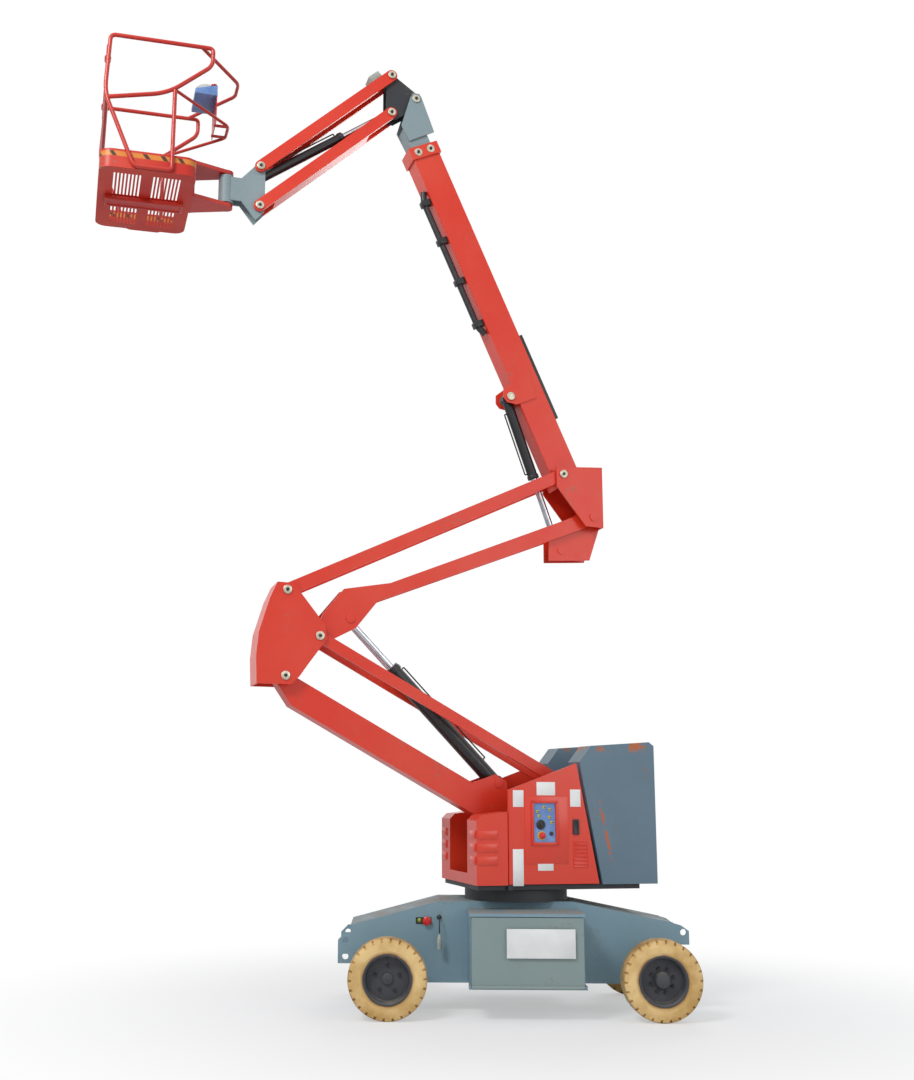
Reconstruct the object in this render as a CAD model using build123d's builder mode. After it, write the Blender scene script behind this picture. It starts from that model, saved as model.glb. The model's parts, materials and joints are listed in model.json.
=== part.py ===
"""Articulating boom lift on four solid tyres, as separate bodies. Units: mm.

World axes: X runs along the chassis towards the steered wheels, -Y is the left
side, Z is up from the ground.  The turret, arms and basket are drawn in a plane
that stands on the slew axis and is turned by slew_rest from the chassis.  In that
plane u runs to the rear and z runs up, and w is the distance out to the left.
"""
import os
from math import atan2, cos, degrees, hypot, radians, sin

from build123d import *

os.makedirs("parts", exist_ok=True)

# Chassis and wheels
wheelbase = 2000
track_outer = 1500
tyre_radius = 290
tyre_width = 190
rim_radius = 180
rim_depth = 85
rim_wall = 12
chassis_half_width = 300
chassis_wall = 10
chassis_low = 215
chassis_nose = -1285
chassis_tail = 1170
deck_front = -605
deck_rear = 405
deck_height = 810
nose_height = 632
lug_thickness = 25
lug_hole = 24
tail_height = 660
seat_gap = 0.3
run_gap = 6
spigot_radius = 40

# Battery boxes
box_front = -395
box_rear = 435
box_low = 228
box_high = 735
box_depth = 420
box_wall = 6
lid_thickness = 22
flap_thickness = 12
lip = 8
lug_width = 12
lug_depth = 80

# Steering
kingpin_inset = 250
kingpin_radius = 34
knuckle_radius = 48
ear_thickness = 22
ear_low = 176
ear_high = 404

# Turret
slew_rest = 14.5
ring_radius = 400
ring_bore = 310
ring_height = 88
turret_floor = 904
cover_low = 940
hinge_radius = 14
hinge_pin = 7
cheek_inner = 190
cheek_thickness = 20
cover_half_width = 460
cover_skin = 8
cover_front = -215
door_front_height = 1650
fairing_front = -470
fairing_high = 1455

# Arm pins in the boom plane
lower_pivot = (463, 1183)
lower_length = 2700
lower_angle = 29
link_offset = (263, 313)
knuckle_height = 663
upper_length = 2537
upper_angle = 25
knuckle_half_width = 170
plate = 15
pin_radius = 30
main_pin_radius = 40
small_pin_radius = 22
pin_head = 36
head_height = 8
fit_gap = 0.3

# Telescopic boom
boom_angle = 66
boom_depth = 244
boom_half_width = 95
boom_wall = 8
boom_offset = 50
boom_reach = 2978
collar_length = 106
inner_depth = 186
inner_half_width = 72

# Jib and basket
jib_pivot = (-1077, 7340)
jib_length = 1490
jib_angle = 41.8
jib_rise = 350
post_u = -2460
basket_front = -3490
basket_back = -2750
basket_half_width = 560
basket_floor_z = 6300
toe_height = 150
rail_height = 1110
rail_radius = 17


def along(start, length, angle):
    """Point at a distance from start, at an angle above the rear direction."""
    return (start[0] + length * cos(radians(angle)), start[1] + length * sin(radians(angle)))


def shifted(start, offset):
    """Point moved by an offset in the boom plane."""
    return (start[0] + offset[0], start[1] + offset[1])


def side_plane(w):
    """Boom plane at a distance w to the left: local x is u, local y is z."""
    turn = radians(slew_rest)
    return Plane(
        origin=(w * sin(turn), -w * cos(turn), 0),
        x_dir=(cos(turn), sin(turn), 0),
        z_dir=(sin(turn), -cos(turn), 0),
    )


def flat_plane(z):
    """Level plane of the turret: local x is u, local y runs to the right side."""
    turn = radians(slew_rest)
    return Plane(origin=(0, 0, z), x_dir=(cos(turn), sin(turn), 0), z_dir=(0, 0, 1))


def member_plane(start, end, w):
    """Boom plane with its origin at one pin and local x running to another."""
    turn = radians(slew_rest)
    pitch = atan2(end[1] - start[1], end[0] - start[0])
    return Plane(
        origin=side_plane(w).from_local_coords((start[0], start[1], 0)),
        x_dir=(cos(pitch) * cos(turn), cos(pitch) * sin(turn), sin(pitch)),
        z_dir=(sin(turn), -cos(turn), 0),
    )


def cross_plane(start, end, distance):
    """Plane across a member at a distance from its first pin."""
    base = member_plane(start, end, 0)
    return Plane(
        origin=base.from_local_coords((distance, 0, 0)),
        x_dir=base.z_dir,
        z_dir=base.x_dir,
    )


def span(start, end):
    """Distance between two pins."""
    return hypot(end[0] - start[0], end[1] - start[1])


def bar(pin, radius, w_from, w_to, mode=Mode.ADD):
    """Round bar, or a bore, across the boom plane at a pin."""
    with BuildSketch(side_plane(w_from)) as circle:
        with Locations(pin):
            Circle(radius)
    extrude(circle.sketch, amount=w_to - w_from, mode=mode)


def slab(points, w_from, w_to, mode=Mode.ADD):
    """Flat plate with an outline in the boom plane."""
    with BuildSketch(side_plane(w_from)) as outline:
        with BuildLine():
            Polyline(*points, close=True)
        make_face()
    extrude(outline.sketch, amount=w_to - w_from, mode=mode)


def beam(start, end, points, w_from, w_to, mode=Mode.ADD):
    """Flat plate with an outline given along the line between two pins."""
    with BuildSketch(member_plane(start, end, w_from)) as outline:
        with BuildLine():
            Polyline(*points, close=True)
        make_face()
    extrude(outline.sketch, amount=w_to - w_from, mode=mode)


def tie(start, end, width, w_from, w_to):
    """Flat bar with round ends between two pins."""
    with BuildSketch(member_plane(start, end, w_from)) as outline:
        with Locations((span(start, end) / 2, 0)):
            SlotCenterToCenter(span(start, end), width)
    extrude(outline.sketch, amount=w_to - w_from)


def rod_along(start, end, radius, x_from, x_to, mode=Mode.ADD):
    """Round bar along the line between two pins."""
    with BuildSketch(cross_plane(start, end, x_from)) as circle:
        Circle(radius)
    extrude(circle.sketch, amount=x_to - x_from, mode=mode)


def block(x_from, x_to, y_from, y_to, z_from, z_to, mode=Mode.ADD):
    """Upright block in the axes of the chassis."""
    with BuildSketch(Plane.XY.offset(z_from)) as outline:
        with Locations(((x_from + x_to) / 2, (y_from + y_to) / 2)):
            Rectangle(abs(x_to - x_from), abs(y_to - y_from))
    extrude(outline.sketch, amount=z_to - z_from, mode=mode)


def turret_block(u_from, u_to, w_from, w_to, z_from, z_to, mode=Mode.ADD):
    """Upright block in the axes of the turret."""
    with BuildSketch(flat_plane(z_from)) as outline:
        with Locations(((u_from + u_to) / 2, -(w_from + w_to) / 2)):
            Rectangle(abs(u_to - u_from), abs(w_to - w_from))
    extrude(outline.sketch, amount=z_to - z_from, mode=mode)


def upright(x, y, radius, z_from, z_to, mode=Mode.ADD):
    """Upright round bar in the axes of the chassis."""
    with BuildSketch(Plane.XY.offset(z_from)) as circle:
        with Locations((x, y)):
            Circle(radius)
    extrude(circle.sketch, amount=z_to - z_from, mode=mode)


def turret_upright(u, w, radius, z_from, z_to, mode=Mode.ADD):
    """Upright round bar in the axes of the turret."""
    with BuildSketch(flat_plane(z_from)) as circle:
        with Locations((u, -w)):
            Circle(radius)
    extrude(circle.sketch, amount=z_to - z_from, mode=mode)


def axle_bar(x, z, radius, y_from, y_to, mode=Mode.ADD):
    """Round bar across the chassis."""
    with BuildSketch(chassis_side(y_from)) as circle:
        with Locations((x, z)):
            Circle(radius)
    extrude(circle.sketch, amount=y_from - y_to, mode=mode)


def cross_chassis(x):
    """Upright plane across the chassis: local x is Y, local y is z."""
    return Plane(origin=(x, 0, 0), x_dir=(0, 1, 0), z_dir=(1, 0, 0))


def chassis_side(y):
    """Upright plane along the chassis: local x is X, local y is Z, normal is -Y."""
    return Plane(origin=(0, y, 0), x_dir=(1, 0, 0), z_dir=(0, -1, 0))


axle_x = wheelbase / 2
wheel_y = track_outer / 2 - tyre_width / 2
kingpin_y = track_outer / 2 - kingpin_inset
knuckle_low_pin = along(lower_pivot, lower_length, 180 - lower_angle)
knuckle_mid_pin = shifted(knuckle_low_pin, link_offset)
knuckle_top_pin = shifted(knuckle_low_pin, (0, knuckle_height))
link_pivot = shifted(lower_pivot, link_offset)
boom_pivot = along(knuckle_top_pin, upper_length, upper_angle)
upper_pivot = along(knuckle_mid_pin, upper_length, upper_angle)
lift_base = shifted(lower_pivot, (-630, 514))
lift_eye = shifted(knuckle_mid_pin, (253, 154))
boom_tip = along(boom_pivot, boom_reach, 180 - boom_angle)
boom_head_eye = shifted(boom_pivot, (-435, 657))
boom_foot_eye = shifted(boom_pivot, (12, -627))
head_pin = (-861, 7496)
jib_low_end = along(jib_pivot, jib_length, 180 + jib_angle)
jib_top_pivot = shifted(jib_pivot, (0, jib_rise))
jib_top_end = shifted(jib_low_end, (0, jib_rise))
jib_foot_eye = shifted(jib_top_end, (-40, -110))
jib_rod_eye = shifted(jib_pivot, (40, 70))

# Chassis shell: a tapered hollow beam open below, with tie-down lugs at its ends
with BuildPart() as chassis_frame:
    with BuildSketch(chassis_side(0)):
        with BuildLine():
            Polyline(
                (chassis_nose, 300), (chassis_nose, nose_height), (deck_front, deck_height),
                (deck_rear, deck_height), (chassis_tail, tail_height), (chassis_tail, 330),
                (900, chassis_low), (-1000, chassis_low), close=True,
            )
        make_face()
    extrude(amount=chassis_half_width, both=True)
    offset(amount=-chassis_wall, openings=faces().sort_by(Axis.Z)[0])
    for y in (-chassis_half_width, chassis_half_width - lug_thickness):
        with BuildSketch(chassis_side(y)):
            with BuildLine():
                Polyline(
                    (chassis_tail - 40, 500), (chassis_tail - 40, tail_height + 8),
                    (chassis_tail + 60, tail_height - 20), (chassis_tail + 118, 600), (chassis_tail + 118, 500),
                    close=True,
                )
            make_face()
            with Locations((chassis_tail + 75, 590)):
                Circle(lug_hole, mode=Mode.SUBTRACT)
            with BuildLine():
                Polyline(
                    (chassis_nose + 40, 350), (chassis_nose + 40, 575), (chassis_nose - 40, 575),
                    (chassis_nose - 95, 520), (chassis_nose - 95, 350), close=True,
                )
            make_face()
            with Locations((chassis_nose - 38, 520), (chassis_nose - 38, 400)):
                Circle(lug_hole, mode=Mode.SUBTRACT)
        extrude(amount=-lug_thickness)
chassis_frame.part.label = "chassis_frame"
export_step(chassis_frame.part, "parts/chassis_frame.step")

# Drive axle: one gearbox leg each side, bolted to the chassis wall
with BuildPart() as drive_axle:
    for side in (-1, 1):
        wall = side * (chassis_half_width + seat_gap)
        hub = side * (wheel_y - run_gap)
        block(-axle_x - 120, -axle_x + 120, wall, wall + side * 40, tyre_radius - 75, tyre_radius + 100)
        axle_bar(-axle_x, tyre_radius, 78, wall, hub)
        axle_bar(-axle_x, tyre_radius, spigot_radius, hub, side * (wheel_y + rim_wall + 10))
drive_axle.part.label = "drive_axle"
export_step(drive_axle.part, "parts/drive_axle.step")

# Steering axle: a pair of ears each side that hold the kingpins
with BuildPart() as steer_axle:
    for side in (-1, 1):
        wall = side * (chassis_half_width + seat_gap)
        for low, high in ((ear_low - ear_thickness, ear_low), (ear_high, ear_high + ear_thickness)):
            block(axle_x - knuckle_radius, axle_x + knuckle_radius, wall, side * kingpin_y, low, high)
            upright(axle_x, side * kingpin_y, knuckle_radius, low, high)
        block(
            axle_x - knuckle_radius, axle_x + knuckle_radius, wall, wall + side * 90,
            ear_low - ear_thickness, ear_high + ear_thickness,
        )
        upright(axle_x, side * kingpin_y, kingpin_radius, ear_low, ear_high)
steer_axle.part.label = "steer_axle"
export_step(steer_axle.part, "parts/steer_axle.step")

# Steering knuckles with the stub axles
for name, side in (("steer_knuckle_left", -1), ("steer_knuckle_right", 1)):
    with BuildPart() as knuckle:
        upright(axle_x, side * kingpin_y, knuckle_radius, ear_low + fit_gap, ear_high - fit_gap)
        axle_bar(axle_x, tyre_radius, 44, side * kingpin_y, side * (wheel_y - run_gap))
        axle_bar(
            axle_x, tyre_radius, spigot_radius, side * (wheel_y - run_gap), side * (wheel_y + rim_wall + 10),
        )
        upright(axle_x, side * kingpin_y, kingpin_radius + fit_gap, ear_low, ear_high, Mode.SUBTRACT)
    knuckle.part.label = name
    export_step(knuckle.part, f"parts/{name}.step")

# Wheels: a dished rim and a solid tyre at each corner
for corner, x, side in (
    ("drive_left", -axle_x, -1), ("drive_right", -axle_x, 1),
    ("steer_left", axle_x, -1), ("steer_right", axle_x, 1),
):
    wheel_plane = Plane(origin=(x, side * wheel_y, tyre_radius), x_dir=(1, 0, 0), z_dir=(0, 0, 1))
    wheel_axis = Axis((x, 0, tyre_radius), (0, 1, 0))
    rim_edge = tyre_width / 2 - 4
    with BuildPart() as rim:
        with BuildSketch(wheel_plane):
            with BuildLine():
                Polyline(
                    (spigot_radius + fit_gap, 0), (spigot_radius + fit_gap, side * rim_wall),
                    (rim_radius - 30, side * rim_wall), (rim_radius - 20, side * (rim_edge - 10)),
                    (rim_radius - 10, side * rim_edge), (rim_radius, side * rim_edge),
                    (rim_radius, -side * rim_edge), (rim_radius - 14, -side * rim_edge),
                    (rim_radius - 14, 0), close=True,
                )
            make_face()
        revolve(axis=wheel_axis)
    rim.part.label = f"rim_{corner}"
    export_step(rim.part, f"parts/rim_{corner}.step")
    with BuildPart() as tyre:
        with BuildSketch(wheel_plane):
            with BuildLine():
                Polyline(
                    (rim_radius + seat_gap, -tyre_width / 2 + 8), (tyre_radius - 26, -tyre_width / 2),
                    (tyre_radius, -tyre_width / 2 + 22), (tyre_radius, tyre_width / 2 - 22),
                    (tyre_radius - 26, tyre_width / 2), (rim_radius + seat_gap, tyre_width / 2 - 8), close=True,
                )
            make_face()
        revolve(axis=wheel_axis)
    tyre.part.label = f"tyre_{corner}"
    export_step(tyre.part, f"parts/tyre_{corner}.step")

# Battery boxes: open in front, with a lipped top and the hinge lugs of their doors
box_inner = chassis_half_width + seat_gap
box_outer = box_inner + box_depth
flap_hinge_y = box_outer + run_gap + hinge_radius
flap_hinge_z = box_low + hinge_radius
with BuildPart() as battery_boxes:
    for side in (-1, 1):
        block(box_front, box_rear, side * box_inner, side * box_outer, box_low, box_high)
        block(
            box_front + box_wall, box_rear - box_wall, side * (box_inner + box_wall), side * (box_outer + 1),
            box_low + box_wall, box_high - box_wall, Mode.SUBTRACT,
        )
        block(
            box_front - lip, box_rear + lip, side * box_inner, side * (box_outer + run_gap + flap_thickness),
            box_high, box_high + lid_thickness,
        )
        for x in (box_front - lug_width, box_rear):
            block(
                x, x + lug_width, side * (box_outer - lug_depth), side * (flap_hinge_y + hinge_radius),
                box_low, box_low + 2 * hinge_radius,
            )
        with BuildSketch(cross_chassis(box_front - lug_width)) as circle:
            with Locations((side * flap_hinge_y, flap_hinge_z)):
                Circle(hinge_pin)
        extrude(circle.sketch, amount=box_rear - box_front + 2 * lug_width)
battery_boxes.part.label = "battery_boxes"
export_step(battery_boxes.part, "parts/battery_boxes.step")

with BuildPart() as battery_packs:
    for side in (-1, 1):
        block(
            box_front + 30, box_rear - 30, side * (box_inner + 30), side * (box_outer - 30),
            box_low + box_wall + seat_gap, box_high - 90,
        )
battery_packs.part.label = "battery_packs"
export_step(battery_packs.part, "parts/battery_packs.step")

for name, side in (("battery_door_left", -1), ("battery_door_right", 1)):
    with BuildPart() as flap:
        block(
            box_front + run_gap, box_rear - run_gap, side * (box_outer + run_gap),
            side * (box_outer + run_gap + flap_thickness), flap_hinge_z, box_high - run_gap,
        )
        with BuildSketch(cross_chassis(box_front + run_gap)) as circle:
            with Locations((side * flap_hinge_y, flap_hinge_z)):
                Circle(hinge_radius)
        extrude(circle.sketch, amount=box_rear - box_front - 2 * run_gap)
        with BuildSketch(cross_chassis(box_front)) as circle:
            with Locations((side * flap_hinge_y, flap_hinge_z)):
                Circle(hinge_pin + fit_gap)
        extrude(circle.sketch, amount=box_rear - box_front, mode=Mode.SUBTRACT)
    flap.part.label = name
    export_step(flap.part, f"parts/{name}.step")

# Slew ring on the deck
with BuildPart() as slew_ring:
    upright(0, 0, ring_radius, deck_height + seat_gap, deck_height + ring_height)
    upright(0, 0, ring_bore, deck_height, deck_height + ring_height, Mode.SUBTRACT)
slew_ring.part.label = "slew_ring"
export_step(slew_ring.part, "parts/slew_ring.step")

# Turret frame: hub, floor, two upright cheeks with the arm pins, and the door posts
door_hinge_u = cover_front + hinge_radius
door_hinge_w = cover_half_width - hinge_radius
with BuildPart() as turret_frame:
    upright(0, 0, ring_bore - fit_gap, deck_height + run_gap, turret_floor)
    turret_block(fairing_front + 20, 860, -430, 430, turret_floor, cover_low - seat_gap)
    for side in (1, -1):
        slab(
            (
                (-200, turret_floor), (-200, 1020), (330, 1330), (600, 1580), (840, 1580), (855, turret_floor),
            ),
            side * cheek_inner, side * (cheek_inner + cheek_thickness),
        )
        for pin in (lower_pivot, link_pivot):
            bar(pin, pin_head, side * cheek_inner, side * (cheek_inner + cheek_thickness + head_height))
        turret_block(
            door_hinge_u - 20, door_hinge_u + 20, side * 400, side * (door_hinge_w + hinge_radius),
            turret_floor, cover_low - seat_gap,
        )
        turret_upright(door_hinge_u, side * door_hinge_w, hinge_pin, turret_floor, door_front_height)
    bar(lower_pivot, main_pin_radius, -cheek_inner, cheek_inner)
    bar(link_pivot, pin_radius, -cheek_inner, cheek_inner)
turret_frame.part.label = "turret_frame"
export_step(turret_frame.part, "parts/turret_frame.step")

# Counterweight: two cast cheeks joined across the tail
weight_inner = cheek_inner + cheek_thickness + head_height + 4
with BuildPart() as counterweight:
    for side in (1, -1):
        slab(
            (
                (545, cover_low), (372, 1860), (470, 1985), (960, 2020), (1000, 1990), (1000, cover_low),
            ),
            side * weight_inner, side * cover_half_width,
        )
    turret_block(880, 1000, -cover_half_width, cover_half_width, cover_low, 1500)
counterweight.part.label = "counterweight"
export_step(counterweight.part, "parts/counterweight.step")

# Side doors of the turret on their hinge posts, and the control panel
door_outline = (
    (door_hinge_u, cover_low + run_gap), (door_hinge_u, door_front_height), (344, 1850),
    (515, cover_low + run_gap),
)
for name, side in (("turret_door_left", 1), ("turret_door_right", -1)):
    with BuildPart() as door:
        slab(door_outline, side * (cover_half_width - cover_skin), side * cover_half_width)
        turret_upright(door_hinge_u, side * door_hinge_w, hinge_radius, cover_low + run_gap, door_front_height)
        turret_upright(
            door_hinge_u, side * door_hinge_w, hinge_pin + fit_gap, cover_low, door_front_height, Mode.SUBTRACT,
        )
    door.part.label = name
    export_step(door.part, f"parts/{name}.step")

with BuildPart() as control_panel:
    slab(
        ((-14, 1254), (-14, 1547), (162, 1547), (162, 1254)),
        cover_half_width + seat_gap, cover_half_width + seat_gap + 4,
    )
control_panel.part.label = "control_panel"
export_step(control_panel.part, "parts/control_panel.step")

# Front fairing: a hollow shell each side of the arm slot, joined by a low band
slot_wall = cheek_inner + cheek_thickness + 20
fairing_back = cover_front - run_gap
with BuildPart() as turret_fairing:
    for side in (1, -1):
        slab(
            (
                (fairing_front, cover_low), (fairing_front, fairing_high - 40), (fairing_front + 40, fairing_high),
                (fairing_back, fairing_high + 25), (fairing_back, cover_low),
            ),
            side * slot_wall, side * cover_half_width,
        )
        slab(
            (
                (fairing_front + cover_skin, cover_low - 1), (fairing_front + cover_skin, fairing_high - 52),
                (fairing_front + 50, fairing_high - 10), (fairing_back + 1, fairing_high + 15),
                (fairing_back + 1, cover_low - 1),
            ),
            side * (slot_wall + cover_skin), side * (cover_half_width - cover_skin), Mode.SUBTRACT,
        )
    turret_block(fairing_front, fairing_front + cover_skin, -slot_wall - 1, slot_wall + 1, cover_low, cover_low + 80)
turret_fairing.part.label = "turret_fairing"
export_step(turret_fairing.part, "parts/turret_fairing.step")

# Pump and motor, as plain blocks
with BuildPart() as hydraulic_unit:
    for side in (1, -1):
        turret_block(-120, 300, side * 250, side * 420, cover_low, cover_low + 380)
hydraulic_unit.part.label = "hydraulic_unit"
export_step(hydraulic_unit.part, "parts/hydraulic_unit.step")

# Lower arm: box tube with cheeks that carry the lift cylinder
arm_half_width = 100
with BuildPart() as lower_arm:
    beam(
        lower_pivot, knuckle_low_pin,
        (
            (-60, -50), (-60, 60), (150, 165), (lower_length - 160, 165), (lower_length + 50, 60),
            (lower_length + 50, -40), (150, -40),
        ),
        -arm_half_width, arm_half_width,
    )
    beam(
        lower_pivot, knuckle_low_pin,
        ((160, -30), (160, 155), (lower_length - 170, 155), (lower_length - 170, -30)),
        -arm_half_width + 8, arm_half_width - 8, Mode.SUBTRACT,
    )
    for side in (1, -1):
        slab(
            (
                shifted(lower_pivot, (-841, 517)), shifted(lower_pivot, (-658, 582)),
                shifted(lower_pivot, (-563, 529)), shifted(lower_pivot, (-553, 317)),
                shifted(lower_pivot, (-763, 377)),
            ),
            side * (arm_half_width - 14), side * arm_half_width,
        )
        bar(lift_base, pin_head, side * (arm_half_width - 14), side * (arm_half_width + head_height))
    bar(lift_base, pin_radius, -arm_half_width, arm_half_width)
    bar(lower_pivot, main_pin_radius + fit_gap, -arm_half_width, arm_half_width, Mode.SUBTRACT)
    bar(knuckle_low_pin, pin_radius + fit_gap, -arm_half_width, arm_half_width, Mode.SUBTRACT)
lower_arm.part.label = "lower_arm"
export_step(lower_arm.part, "parts/lower_arm.step")

# Lower link: two bars beside the lower arm
link_inner = 122
link_outer = 146
with BuildPart() as lower_link:
    for side in (1, -1):
        tie(link_pivot, knuckle_mid_pin, 86, side * link_inner, side * link_outer)
        for pin in (link_pivot, knuckle_mid_pin):
            bar(pin, pin_radius + fit_gap, side * link_inner, side * link_outer, Mode.SUBTRACT)
lower_link.part.label = "lower_link"
export_step(lower_link.part, "parts/lower_link.step")

# Lower knuckle: two plates with the three pins, and a curved back wall
plate_inner = knuckle_half_width - plate
with BuildPart() as lower_knuckle:
    for side in (1, -1):
        slab(
            (
                shifted(knuckle_low_pin, (-77, 721)), shifted(knuckle_low_pin, (60, 715)),
                shifted(knuckle_low_pin, (109, 640)), shifted(knuckle_low_pin, (300, 400)),
                shifted(knuckle_low_pin, (320, 290)), shifted(knuckle_low_pin, (153, 60)),
                shifted(knuckle_low_pin, (110, -4)), shifted(knuckle_low_pin, (44, -67)),
                shifted(knuckle_low_pin, (-220, -65)), shifted(knuckle_low_pin, (-229, 150)),
                shifted(knuckle_low_pin, (-212, 333)), shifted(knuckle_low_pin, (-133, 595)),
            ),
            side * plate_inner, side * knuckle_half_width,
        )
        for pin in (knuckle_low_pin, knuckle_mid_pin, knuckle_top_pin):
            bar(pin, pin_head, side * plate_inner, side * (knuckle_half_width + head_height))
    slab(
        (
            shifted(knuckle_low_pin, (-77, 721)), shifted(knuckle_low_pin, (-133, 595)),
            shifted(knuckle_low_pin, (-212, 333)), shifted(knuckle_low_pin, (-229, 150)),
            shifted(knuckle_low_pin, (-220, -65)), shifted(knuckle_low_pin, (-208, -65)),
            shifted(knuckle_low_pin, (-217, 150)), shifted(knuckle_low_pin, (-200, 330)),
            shifted(knuckle_low_pin, (-121, 592)), shifted(knuckle_low_pin, (-65, 721)),
        ),
        -knuckle_half_width, knuckle_half_width,
    )
    for pin in (knuckle_low_pin, knuckle_mid_pin, knuckle_top_pin):
        bar(pin, pin_radius, -plate_inner, plate_inner)
lower_knuckle.part.label = "lower_knuckle"
export_step(lower_knuckle.part, "parts/lower_knuckle.step")

# Upper arm: two beams with gusset plates at the knuckle, tied at mid length
upper_inner = 76
upper_outer = 102
with BuildPart() as upper_arm:
    for side in (1, -1):
        slab(
            (
                shifted(knuckle_mid_pin, (-55, 0)), shifted(knuckle_mid_pin, (40, 190)),
                shifted(knuckle_mid_pin, (200, 385)), shifted(knuckle_mid_pin, (575, 448)),
                shifted(upper_pivot, (-25, 55)), shifted(upper_pivot, (25, 55)), shifted(upper_pivot, (58, 10)),
                shifted(upper_pivot, (30, -52)), shifted(upper_pivot, (-383, -216)),
                shifted(knuckle_mid_pin, (474, 299)), shifted(knuckle_mid_pin, (300, 80)),
                shifted(knuckle_mid_pin, (40, -55)),
            ),
            side * upper_inner, side * upper_outer,
        )
        bar(lift_eye, pin_head, side * upper_inner, side * (upper_outer + head_height))
        for pin in (knuckle_mid_pin, upper_pivot):
            bar(pin, pin_radius + fit_gap, side * upper_inner, side * upper_outer, Mode.SUBTRACT)
    bar(along(upper_pivot, 1450, 180 + upper_angle - 3), 34, -upper_outer, upper_outer)
upper_arm.part.label = "upper_arm"
export_step(upper_arm.part, "parts/upper_arm.step")

# Upper link: two bars beside the boom
with BuildPart() as upper_link:
    for side in (1, -1):
        tie(knuckle_top_pin, boom_pivot, 100, side * link_inner, side * link_outer)
        for pin in (knuckle_top_pin, boom_pivot):
            bar(pin, pin_radius + fit_gap, side * link_inner, side * link_outer, Mode.SUBTRACT)
upper_link.part.label = "upper_link"
export_step(upper_link.part, "parts/upper_link.step")

# Upper knuckle: outer plates with the pins, a back wall and the foot plates of the boom cylinder
foot_inner = 54
foot_outer = 66
with BuildPart() as upper_knuckle:
    for side in (1, -1):
        slab(
            (
                shifted(boom_pivot, (-62, 58)), shifted(boom_pivot, (338, 78)), shifted(boom_pivot, (347, -439)),
                shifted(boom_pivot, (190, -431)), shifted(boom_pivot, (-59, -106)),
            ),
            side * plate_inner, side * knuckle_half_width,
        )
        for pin in (boom_pivot, upper_pivot):
            bar(pin, pin_head, side * plate_inner, side * (knuckle_half_width + head_height))
        slab(
            (
                shifted(boom_pivot, (-99, -720)), shifted(boom_pivot, (-99, -560)),
                shifted(boom_pivot, (160, -300)), shifted(boom_pivot, (347, -300)),
                shifted(boom_pivot, (347, -439)), shifted(boom_pivot, (259, -700)),
            ),
            side * foot_inner, side * foot_outer,
        )
        bar(boom_foot_eye, pin_head, side * foot_inner, side * (foot_outer + 6))
    turret_block(
        boom_pivot[0] + 335, boom_pivot[0] + 347, -knuckle_half_width, knuckle_half_width,
        boom_pivot[1] - 439, boom_pivot[1] + 78,
    )
    for pin in (boom_pivot, upper_pivot):
        bar(pin, pin_radius, -plate_inner, plate_inner)
upper_knuckle.part.label = "upper_knuckle"
export_step(upper_knuckle.part, "parts/upper_knuckle.step")

# Lift cylinder, its rod's eye open at the upper arm
lift_barrel_length = 1240
with BuildPart() as lift_barrel:
    rod_along(lift_base, lift_eye, 60, 0, lift_barrel_length)
    bar(lift_base, 60, -60, 60)
    rod_along(lift_base, lift_eye, 35 + fit_gap, 120, lift_barrel_length + 1, Mode.SUBTRACT)
    bar(lift_base, pin_radius + fit_gap, -60, 60, Mode.SUBTRACT)
lift_barrel.part.label = "lift_barrel"
export_step(lift_barrel.part, "parts/lift_barrel.step")

with BuildPart() as lift_rod:
    rod_along(lift_base, lift_eye, 35, 640, span(lift_base, lift_eye))
    bar(lift_eye, 52, -48, 48)
lift_rod.part.label = "lift_rod"
export_step(lift_rod.part, "parts/lift_rod.step")

# Telescopic boom: outer tube with the front collar and the bracket of its cylinder
bracket_plate = 12
bracket_outer = boom_half_width + bracket_plate
bracket_pin = 24
with BuildPart() as main_boom:
    with BuildSketch(cross_plane(boom_pivot, boom_tip, -90)):
        with Locations((0, boom_offset)):
            Rectangle(2 * boom_half_width, boom_depth)
            Rectangle(2 * (boom_half_width - boom_wall), boom_depth - 2 * boom_wall, mode=Mode.SUBTRACT)
    extrude(amount=boom_reach + 90)
    with BuildSketch(cross_plane(boom_pivot, boom_tip, boom_reach)):
        with Locations((0, boom_offset)):
            Rectangle(2 * boom_half_width + 30, boom_depth + 30)
            Rectangle(2 * (inner_half_width + 1), inner_depth + 2, mode=Mode.SUBTRACT)
    extrude(amount=collar_length)
    for side in (1, -1):
        slab(
            (
                shifted(boom_head_eye, (-61, 60)), shifted(boom_head_eye, (169, 248)),
                shifted(boom_head_eye, (228, 6)), shifted(boom_head_eye, (54, -67)),
                shifted(boom_head_eye, (-30, -50)), shifted(boom_head_eye, (-61, -10)),
            ),
            side * boom_half_width, side * bracket_outer,
        )
        bar(boom_head_eye, pin_head, side * boom_half_width, side * (bracket_outer + head_height))
    bar(boom_head_eye, bracket_pin, -bracket_outer, bracket_outer)
    bar(boom_pivot, pin_radius + fit_gap, -boom_half_width, boom_half_width, Mode.SUBTRACT)
main_boom.part.label = "main_boom"
export_step(main_boom.part, "parts/main_boom.step")

boom_barrel_length = 711
with BuildPart() as boom_barrel:
    rod_along(boom_head_eye, boom_foot_eye, 42, 0, boom_barrel_length)
    bar(boom_head_eye, 46, -44, 44)
    rod_along(boom_head_eye, boom_foot_eye, 27 + fit_gap, 80, boom_barrel_length + 1, Mode.SUBTRACT)
    bar(boom_head_eye, bracket_pin + fit_gap, -44, 44, Mode.SUBTRACT)
boom_barrel.part.label = "boom_barrel"
export_step(boom_barrel.part, "parts/boom_barrel.step")

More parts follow.
